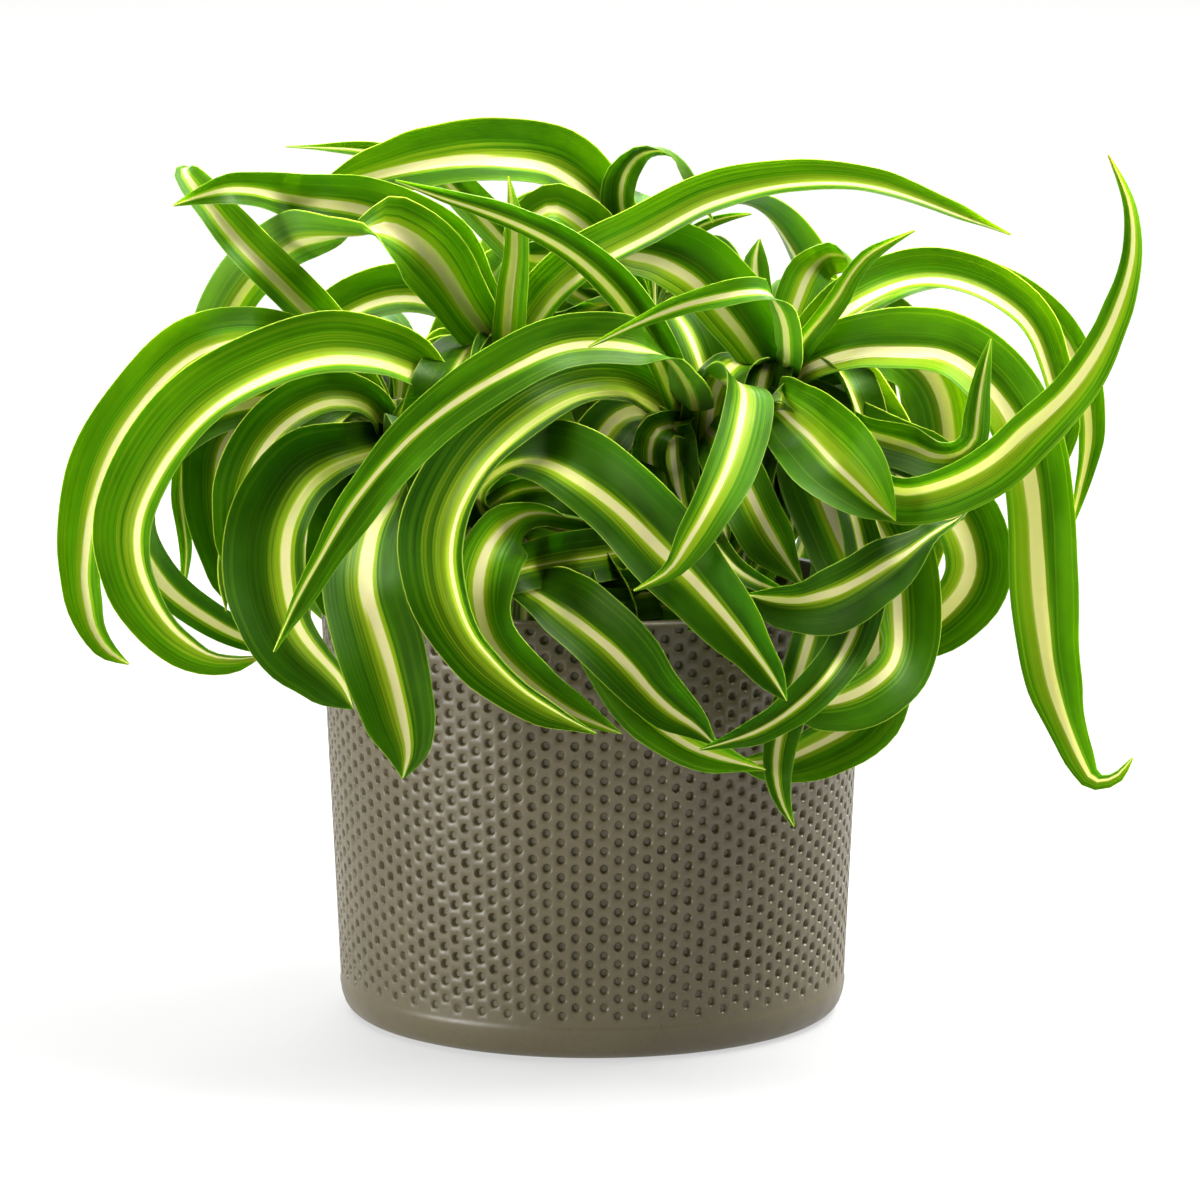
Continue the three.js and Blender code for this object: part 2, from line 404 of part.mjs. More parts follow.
// Where two leaves cross as seen by the eye, the nearer one keeps nearer and both are bent apart
// along the sight line, so no leaf cuts another and the outline stays as it is.
function bendClear() {
  const cellSize = 4;
  const sheets = [];
  for (const blade of blades) {
    const grid = blade.stations.map((station) => [-1, -0.5, 0, 0.5, 1]
      .map((side) => toFront(bladePoint(station, blade.fold, side))));
    sheets.push({ blade, grid, shift: blade.stations.map(() => 0), half: 0.6 });
  }
  for (const [name, crown] of Object.entries(crowns)) {
    const rings = crownRings(crown).slice(1);
    const grid = [];
    for (let i = 0; i <= 8; i += 1) {
      const span = Math.min(Math.floor((i / 8) * (rings.length - 1)), rings.length - 2);
      const share = (i / 8) * (rings.length - 1) - span;
      const ring = rings[span].map((value, k) => value + (rings[span + 1][k] - value) * share);
      grid.push([-1, -0.5, 0, 0.5, 1].map((side) => toFront(
        new THREE.Vector3(ring[0] + side * ring[3], ring[1], ring[2]),
      )));
    }
    sheets.push({ crownName: name, grid, shift: grid.map(() => 0), half: crownRadius, fixed: true });
  }
  const cells = new Map();
  const spots = [];
  sheets.forEach((sheet, leaf) => {
    sheet.grid.forEach((line, i) => {
      const before = sheet.grid[Math.max(i - 1, 0)];
      const after = sheet.grid[Math.min(i + 1, sheet.grid.length - 1)];
      line.forEach((spot, j) => {
        const left = line[Math.max(j - 1, 0)];
        const right = line[Math.min(j + 1, 4)];
        const a = new THREE.Vector3(...after[j]).sub(new THREE.Vector3(...before[j]));
        const b = new THREE.Vector3(...right).sub(new THREE.Vector3(...left));
        const normal = a.cross(b);
        const flat = Math.abs(normal.z) > 1e-9 ? normal.z : 1e-9;
        const limit = (value) => Math.max(-1.2, Math.min(1.2, value));
        const entry = {
          leaf, i, spot, slope: [limit(-normal.x / flat), limit(-normal.y / flat)],
        };
        const key = `${Math.floor(spot[0] / cellSize)},${Math.floor(spot[1] / cellSize)}`;
        if (!cells.has(key)) cells.set(key, []);
        cells.get(key).push(entry);
        spots.push(entry);
      });
    });
  });
  const groups = new Map();
  for (const a of spots) {
    const cellX = Math.floor(a.spot[0] / cellSize);
    const cellY = Math.floor(a.spot[1] / cellSize);
    for (let x = cellX - 1; x <= cellX + 1; x += 1) {
      for (let y = cellY - 1; y <= cellY + 1; y += 1) {
        for (const b of cells.get(`${x},${y}`) ?? []) {
          if (b.leaf <= a.leaf) continue;
          const stepX = b.spot[0] - a.spot[0];
          const stepY = b.spot[1] - a.spot[1];
          if (stepX * stepX + stepY * stepY > cellSize * cellSize) continue;
          const first = sheets[a.leaf];
          const second = sheets[b.leaf];
          if (first.fixed && second.fixed) continue;
          const sameCrown = (first.blade?.crownName ?? first.crownName)
            === (second.blade?.crownName ?? second.crownName);
          const nearFan = (sheet, i) => sheet.fixed
            || sheet.blade.stations[i].along < sheet.blade.fanLength + 16;
          if (sameCrown && (nearFan(first, a.i) || nearFan(second, b.i))) continue;
          if (first.blade?.side && second.blade?.side) continue;
          const lead = a.spot[2] + (a.slope[0] * stepX + a.slope[1] * stepY) / 2
            - b.spot[2] + (b.slope[0] * stepX + b.slope[1] * stepY) / 2;
          const key = a.leaf * 1000 + b.leaf;
          if (!groups.has(key)) groups.set(key, []);
          groups.get(key).push({ a, b, lead });
        }
      }
    }
  }
  const contacts = [];
  for (const pairs of groups.values()) {
    const open = new Map();
    for (const pair of pairs) {
      const key = pair.a.i * 100 + pair.b.i;
      if (!open.has(key)) open.set(key, []);
      open.get(key).push(pair);
    }
    while (open.size) {
      const queue = [open.keys().next().value];
      const patch = [];
      while (queue.length) {
        const key = queue.pop();
        if (!open.has(key)) continue;
        patch.push(...open.get(key));
        open.delete(key);
        for (const step of [-101, -100, -99, -1, 1, 99, 100, 101]) queue.push(key + step);
      }
      const first = sheets[patch[0].a.leaf];
      const second = sheets[patch[0].b.leaf];
      let sign = Math.sign(patch.reduce((sum, pair) => sum + pair.lead, 0)) || 1;
      if (first.blade && second.blade?.side) sign = 1;
      for (const pair of patch) {
        contacts.push({ ...pair, sign, first, second, goal: leafGap + first.half + second.half });
      }
    }
  }
  for (let round = 0; round < 90; round += 1) {
    for (const sheet of sheets) {
      sheet.rise = sheet.shift.map(() => 0);
      sheet.fall = sheet.shift.map(() => 0);
    }
    for (const { a, b, lead, sign, first, second, goal } of contacts) {
      const lack = goal - sign * (lead + first.shift[a.i] - second.shift[b.i]);
      if (lack <= 0) continue;
      const near = sign > 0 ? [first, a.i] : [second, b.i];
      const far = sign > 0 ? [second, b.i] : [first, a.i];
      const share = near[0].fixed || far[0].fixed ? 1 : 0.5;
      near[0].rise[near[1]] = Math.max(near[0].rise[near[1]], lack * share);
      far[0].fall[far[1]] = Math.max(far[0].fall[far[1]], lack * share);
    }
    for (const sheet of sheets) {
      if (sheet.fixed) continue;
      const { stations, fanLength } = sheet.blade;
      sheet.grid.forEach((line, i) => {
        if (stations[i].along < fanLength + 4) return;
        for (const spot of line) {
          const depth = spot[2] + sheet.shift[i];
          const point = fromFront(spot[0], spot[1], depth);
          const wall = rimRadius + potGap;
          const top = potHeight + potGap * (sheet.blade.side ? 4 : 1);
          if (point.z > top || Math.abs(point.x) > wall) continue;
          const clear = Math.sqrt(wall * wall - point.x * point.x);
          if (sheet.blade.side) sheet.fall[i] = Math.max(sheet.fall[i], depth + clear);
          else sheet.rise[i] = Math.max(sheet.rise[i], clear - depth);
        }
      });
      let change = sheet.rise.map((value, i) => (value - sheet.fall[i]) * 0.8);
      for (let pass = 0; pass < 2; pass += 1) {
        change = change.map((value, i) => {
          const before = change[Math.max(i - 1, 0)];
          const after = change[Math.min(i + 1, change.length - 1)];
          return 0.25 * before + 0.5 * value + 0.25 * after;
        });
      }
      sheet.shift = sheet.shift.map((value, i) => value
        + change[i] * Math.max(0, Math.min(1, (stations[i].along - fanLength) / 16)));
    }
  }
  for (const sheet of sheets) {
    if (sheet.fixed) continue;
    sheet.blade.stations.forEach((station, i) => {
      const [across, up, depth] = toFront(station.place);
      station.place = fromFront(across, up, depth + sheet.shift[i]);
    });
    setFrames(sheet.blade);
  }
}

bendClear();

function solidOf(vertices, triangles) {
  return new wasm.Manifold(new wasm.Mesh({
    numProp: 3,
    vertProperties: new Float32Array(vertices),
    triVerts: new Uint32Array(triangles),
  }));
}

// One blade: rings of three points on its upper face and three under them, joined alike.
function bladeSolid(blade) {
  const vertices = [];
  const triangles = [];
  const rings = blade.stations.filter((station, i) => i % 2 === 0);
  for (const station of rings) {
    for (const level of [0.5, -0.5]) {
      for (const side of [-1, 0, 1]) {
        const point = bladePoint(station, blade.fold, side);
        point.addScaledVector(station.face, level * (side ? edgeThickness : ribThickness));
        vertices.push(point.x, point.y, point.z);
      }
    }
  }
  const quad = (a, b, c, d) => triangles.push(a, b, c, a, c, d);
  for (let ring = 0; ring < rings.length - 1; ring += 1) {
    const a = ring * 6;
    const b = a + 6;
    for (const k of [0, 1]) {
      quad(a + k, a + k + 1, b + k + 1, b + k);
      triangles.push(a + 3 + k, b + 3 + k + 1, a + 3 + k + 1, a + 3 + k, b + 3 + k, b + 3 + k + 1);
    }
    quad(a + 2, a + 5, b + 5, b + 2);
    quad(a + 3, a, b, b + 3);
  }
  const end = (rings.length - 1) * 6;
  triangles.push(0, 3, 4, 0, 4, 1, 1, 4, 5, 1, 5, 2);
  triangles.push(end, end + 4, end + 3, end, end + 1, end + 4, end + 1, end + 5, end + 4, end + 1, end + 2, end + 5);
  return solidOf(vertices, triangles);
}

function crownSolid(crown) {
  const rings = crownRings(crown);
  const vertices = [];
  const triangles = [];
  for (const [x, y, z, radius] of rings) {
    for (let k = 0; k < crownSides; k += 1) {
      const angle = (2 * Math.PI * k) / crownSides;
      vertices.push(x + radius * Math.cos(angle), y + radius * Math.sin(angle), z);
    }
  }
  for (let ring = 0; ring < rings.length - 1; ring += 1) {
    for (let k = 0; k < crownSides; k += 1) {
      const a = ring * crownSides + k;
      const b = ring * crownSides + ((k + 1) % crownSides);
      triangles.push(a, b, b + crownSides, a, b + crownSides, a + crownSides);
    }
  }
  const last = (rings.length - 1) * crownSides;
  const [topX, topY, topZ] = rings[rings.length - 1];
  vertices.push(topX, topY, topZ + crownDome);
  for (let k = 0; k < crownSides; k += 1) {
    if (k > 0 && k < crownSides - 1) triangles.push(0, k + 1, k);
    triangles.push(last + k, last + ((k + 1) % crownSides), last + crownSides);
  }
  return solidOf(vertices, triangles);
}

function turnedSolid(profile, sides) {
  const geometry = new THREE.LatheGeometry(profile.map(([r, z]) => new THREE.Vector2(r, z)), sides);
  geometry.rotateX(Math.PI / 2);
  const position = geometry.attributes.position;
  const vertices = [];
  const seen = new Map();
  const place = [];
  for (let i = 0; i < position.count; i += 1) {
    const key = [position.getX(i), position.getY(i), position.getZ(i)]
      .map((value) => Math.round(value * 1e4)).join();
    if (!seen.has(key)) {
      seen.set(key, vertices.length / 3);
      vertices.push(position.getX(i), position.getY(i), position.getZ(i));
    }
    place.push(seen.get(key));
  }
  const triangles = [];
  const index = geometry.index.array;
  for (let i = 0; i < index.length; i += 3) {
    const corner = [place[index[i]], place[index[i + 1]], place[index[i + 2]]];
    if (new Set(corner).size === 3) triangles.push(...corner);
  }
  const solid = solidOf(vertices, triangles);
  if (solid.volume() > 0) return solid;
  for (let i = 0; i < triangles.length; i += 3) {
    [triangles[i + 1], triangles[i + 2]] = [triangles[i + 2], triangles[i + 1]];
  }
  return solidOf(vertices, triangles);
}

const wallSlope = (rimRadius - baseRadius) / potHeight;
const outerAt = (height) => baseRadius + wallSlope * height;

function potSolid() {
  const profile = [[0, 0]];
  for (let step = 0; step <= 4; step += 1) {
    const angle = (step / 4) * 90 * degrees;
    profile.push([outerAt(0) - cornerRadius * (1 - Math.sin(angle)), cornerRadius * (1 - Math.cos(angle))]);
  }
  profile.push([outerAt(footBandHeight), footBandHeight]);
  profile.push([outerAt(footBandHeight) - footBandStep, footBandHeight + 0.2]);
  profile.push([outerAt(footBandHeight + 1) - footBandStep, footBandHeight + 1]);
  profile.push([outerAt(footBandHeight + 1.4), footBandHeight + 1.4]);
  profile.push([outerAt(potHeight - 1.3), potHeight - 1.3]);
  profile.push([outerAt(potHeight) - 1.1, potHeight]);
  profile.push([outerAt(potHeight) - wallThickness + 0.9, potHeight]);
  profile.push([outerAt(potHeight) - wallThickness, potHeight - 1]);
  profile.push([outerAt(floorThickness) - wallThickness, floorThickness]);
  profile.push([0, floorThickness]);
  return turnedSolid(profile, turnedSides);
}

function soilSolid() {
  const inner = (height) => outerAt(height) - wallThickness - fitGap;
  let soil = turnedSolid([
    [0, floorThickness + fitGap], [inner(floorThickness), floorThickness + fitGap],
    [inner(soilEdgeHeight), soilEdgeHeight], [42, soilMiddleHeight - 0.6], [20, soilMiddleHeight],
    [0, soilMiddleHeight],
  ], turnedSides);
  for (const crown of Object.values(crowns)) {
    const hole = turnedSolid([[0, crownBottom - fitGap], [crownRadius + fitGap + 0.2, crownBottom - fitGap],
      [crownRadius + fitGap + 0.2, soilMiddleHeight + 5], [0, soilMiddleHeight + 5]], holeSides);
    soil = soil.subtract(hole.translate([crown.foot[0], crown.foot[1], 0]));
  }
  return soil;
}

// Blades laid over each other can close off a pocket between them; the joined body is kept filled.
function withoutPockets(solid) {
  const shells = solid.decompose();
  return shells.reduce((widest, shell) => (shell.volume() > widest.volume() ? shell : widest));
}

// Where blades cross, the join can leave edges too short to matter: their two ends become one.
function closeShortEdges(vertices, triangles) {
  const point = (i) => new THREE.Vector3().fromArray(vertices, 3 * i);
  let faces = [];
  for (let i = 0; i < triangles.length; i += 3) faces.push([triangles[i], triangles[i + 1], triangles[i + 2]]);
  const kept = new Set();
  for (let found = true; found;) {
    found = false;
    for (const face of faces) {
      const corner = [0, 1, 2].find((k) => {
        const [a, b] = [face[k], face[(k + 1) % 3]];
        return !kept.has(`${a},${b}`) && point(a).distanceTo(point(b)) < shortestEdge;
      });
      if (corner === undefined) continue;
      const [a, b] = [face[corner], face[(corner + 1) % 3]];
      const around = (i) => new Set(faces.filter((other) => other.includes(i)).flat());
      const besideB = around(b);
      const shared = [...around(a)].filter((i) => i !== a && i !== b && besideB.has(i));
      if (shared.length === 2) {
        faces = faces.filter((other) => !(other.includes(a) && other.includes(b)));
        faces = faces.map((other) => other.map((i) => (i === b ? a : i)));
      } else {
        kept.add(`${a},${b}`);
        kept.add(`${b},${a}`);
      }
      found = true;
      break;
    }
  }
  const used = [...new Set(faces.flat())];
  const place = new Map(used.map((i, k) => [i, k]));
  return {
    vertices: used.flatMap((i) => [...vertices.slice(3 * i, 3 * i + 3)]),
    triangles: faces.flat().map((i) => place.get(i)),
  };
}

function toMesh(name, solid, colour, roughness) {
  const { vertProperties, triVerts } = solid.getMesh();
  const { vertices, triangles } = closeShortEdges(vertProperties, triVerts);
  const geometry = new THREE.BufferGeometry();
  geometry.setAttribute('position', new THREE.BufferAttribute(new Float32Array(vertices), 3));
  geometry.setIndex(new THREE.BufferAttribute(new Uint32Array(triangles), 1));
  geometry.computeVertexNormals();
  const material = new THREE.MeshStandardMaterial({ color: colour, roughness, metalness: 0 });
  const mesh = new THREE.Mesh(geometry, material);
  mesh.name = name;
  return mesh;
}

const plant = new THREE.Group();
plant.name = 'potted_spider_plant';
plant.add(toMesh('pot', potSolid(), '#6a6452', 0.6));
plant.add(toMesh('potting_mix', withoutPockets(soilSolid()), '#33281d', 0.95));
for (const [crownName, crown] of Object.entries(crowns)) {
  let solid = crownSolid(crown);
  for (const blade of blades) {
    if (blade.crownName === crownName) solid = solid.add(bladeSolid(blade));
  }
  const nodeName = crownName.replace(/[A-Z]/g, (letter) => `_${letter.toLowerCase()}`);
  plant.add(toMesh(nodeName, withoutPockets(solid), crown.colour, 0.45));
}

export default plant;
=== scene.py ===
import math
import random
from functools import partial

import bmesh
import bpy
import numpy as np
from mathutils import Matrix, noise


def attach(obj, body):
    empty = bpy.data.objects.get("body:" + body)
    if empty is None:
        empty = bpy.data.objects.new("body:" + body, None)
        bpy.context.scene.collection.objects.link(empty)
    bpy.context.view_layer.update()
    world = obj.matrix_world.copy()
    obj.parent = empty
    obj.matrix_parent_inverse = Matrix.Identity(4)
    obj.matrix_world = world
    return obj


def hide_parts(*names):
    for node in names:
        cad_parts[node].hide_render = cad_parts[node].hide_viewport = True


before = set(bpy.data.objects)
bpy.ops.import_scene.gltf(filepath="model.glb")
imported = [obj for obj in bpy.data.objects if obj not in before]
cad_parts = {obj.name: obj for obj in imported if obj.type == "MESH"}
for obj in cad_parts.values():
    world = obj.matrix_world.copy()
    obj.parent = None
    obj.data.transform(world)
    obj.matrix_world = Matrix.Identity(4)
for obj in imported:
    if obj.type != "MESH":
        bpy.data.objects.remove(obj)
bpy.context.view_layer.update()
print("frame loaded")

# A curly spider plant with striped leaves, in a round ceramic pot pressed all over with small dimples.
# Sizes are in millimetres; mm turns them into Blender's metres.
mm = 0.001


def linearColour(code):
    # sRGB hex to the linear values that Blender works in
    values = [int(code[i:i + 2], 16) / 255 for i in (1, 3, 5)]
    return tuple(v / 12.92 if v <= 0.04045 else ((v + 0.055) / 1.055) ** 2.4 for v in values) + (1.0,)


def addNode(tree, kind, settings=None, inputs=None):
    # One node with its settings and links. Settings given as a word are its operation, and inputs given as a
    # tuple are in order. An input is a plain value, an output socket, or a node, whose first output is meant.
    node = tree.nodes.new(kind)
    if isinstance(settings, str):
        settings = {"operation": settings}
    for key, value in (settings or {}).items():
        setattr(node, key, value)
    if isinstance(inputs, tuple):
        inputs = dict(enumerate(inputs))
    for key, value in (inputs or {}).items():
        if isinstance(value, bpy.types.Node):
            value = value.outputs[0]
        if isinstance(value, bpy.types.NodeSocket):
            tree.links.new(value, node.inputs[key])
        else:
            node.inputs[key].default_value = value
    return node


def newObject(name, data):
    obj = bpy.data.objects.new(name, data)
    bpy.context.scene.collection.objects.link(obj)
    return obj


def meshFrom(name, vertices, edges, faces):
    mesh = bpy.data.meshes.new(name)
    mesh.from_pydata([tuple(v) for v in vertices], edges, faces)
    mesh.update()
    return mesh


def storeOnPoints(mesh, name, values, kind="FLOAT"):
    layer = mesh.attributes.new(name, kind, "POINT")
    key = "vector" if kind == "FLOAT_VECTOR" else "value"
    layer.data.foreach_set(key, np.asarray(values, dtype=np.float32).ravel())


def newMaterial(name, numbers):
    # a material with the numbers that are the same all over it, on the shader's own sockets
    material = bpy.data.materials.new(name)
    material.use_nodes = True
    shader = material.node_tree.nodes["Principled BSDF"]
    for socket, value in numbers.items():
        shader.inputs[socket].default_value = value
    return material, material.node_tree, shader


def newTree(name, inputs):
    # a geometry tree with one named input for each size, and the sockets to build on
    tree = bpy.data.node_groups.new(name, "GeometryNodeTree")
    for label, kind in {"Geometry": "Geometry", **inputs}.items():
        tree.interface.new_socket(label, in_out="INPUT", socket_type="NodeSocket" + kind)
    tree.interface.new_socket("Geometry", in_out="OUTPUT", socket_type="NodeSocketGeometry")
    return tree, addNode(tree, "NodeGroupInput").outputs


def endTree(tree, parts, material):
    # the parts are joined, made real and painted
    joined = addNode(tree, "GeometryNodeJoinGeometry")
    for part in parts:
        tree.links.new(part, joined.inputs[0])
    real = addNode(tree, "GeometryNodeRealizeInstances", None, (joined,))
    painted = addNode(tree, "GeometryNodeSetMaterial", None, {"Geometry": real, "Material": material})
    addNode(tree, "NodeGroupOutput", None, (painted,))
    return tree


def bakeTree(obj, tree, values):
    # the tree's inputs are set by their identifiers, and its result is kept as a plain mesh
    modifier = obj.modifiers.new("shape", "NODES")
    modifier.node_group = tree
    for item in tree.interface.items_tree:
        if item.in_out == "INPUT" and item.name in values:
            modifier[item.identifier] = values[item.name]
    bpy.context.view_layer.update()
    result = bpy.data.meshes.new_from_object(obj.evaluated_get(bpy.context.evaluated_depsgraph_get()))
    obj.modifiers.remove(modifier)
    old = obj.data
    obj.data = result
    bpy.data.meshes.remove(old)


def tidyPiece(piece, smoothBelow):
    # doubles are merged, faces are turned outward, and edges sharper than the angle stay crisp
    work = bmesh.new()
    work.from_mesh(piece.data)
    bmesh.ops.remove_doubles(work, verts=work.verts, dist=0.004 * mm)
    bmesh.ops.recalc_face_normals(work, faces=work.faces)
    work.to_mesh(piece.data)
    work.free()
    piece.data.shade_smooth()
    piece.data.set_sharp_from_angle(angle=math.radians(smoothBelow))
    print(piece.name + ":", sum(len(face.vertices) - 2 for face in piece.data.polygons), "triangles")


# The photograph looks a little down on the pot from the front, from far off.
camera = {"distance": 1300, "height": 301.2, "tiltDown": 8.81, "turnRight": 0.081, "lens": 163.5}
cameraData = bpy.data.cameras.new("camera")
cameraData.sensor_width = 36
cameraData.lens = camera["lens"]
cameraData.clip_end = 100
cameraObject = newObject("camera", cameraData)
cameraObject.location = (0, -camera["distance"] * mm, camera["height"] * mm)
cameraObject.rotation_euler = (math.radians(90 - camera["tiltDown"]), 0, -math.radians(camera["turnRight"]))
bpy.context.scene.camera = cameraObject
print("camera placed")

potSizes = {
    "height": 104.4, "rimRadius": 65.7, "baseRadius": 60.9, "cornerRadius": 5, "wall": 4, "floor": 6,
    "footBand": 8.7, "footStep": 0.22, "underRise": 1.2, "lipRadius": 1.3, "wallTop": 1.5,
    "columns": 118, "rows": 23, "rowPitch": 4.152, "lowestRow": 11.07, "firstAngle": -0.009,
    "dimpleRings": [(10, 1.3, 0), (10, 1.13, 0.16), (5, 0.8, 1.05)],  # count, radius and depth of each ring
}
soilSizes = {"edgeHeight": 92, "middleHeight": 94.5, "gap": 0.3, "chips": 900, "seed": 4}
crownSizes = {"radius": 6, "topRadius": 4.6, "bottom": 62, "sheaths": 7, "turn": 2.4}
leafSizes = {
    "tipWidth": 1.1, "ringSpacing": 12.5, "rearRingSpacing": 17, "gap": 1.9, "potGap": 3, "rearFold": 18,
    "innerFold": 22, "channelDepth": 1.25, "edgeThickness": 0.34, "ribThickness": 0.75, "step": 2.6,
}

# Crowns: where each leafy stem stands in the mix, and where its leaves fan out (across, up, depth).
crowns = {
    "leftCrown": {"foot": (-22, 6), "fan": (-21, 155, -6)},
    "middleCrown": {"foot": (20, -6), "fan": (24, 138, 8)},
    "rightCrown": {"foot": (43, 0), "fan": (46, 151, 0)},
    "rearCrown": {"foot": (12, 30), "fan": (12, 164, -30)},
    "outerLeftCrown": {"foot": (-44, 0), "fan": (-48, 137, 0)},
    "lowCrown": {"foot": (-16, -30), "fan": (-17, 113, 28)},
}

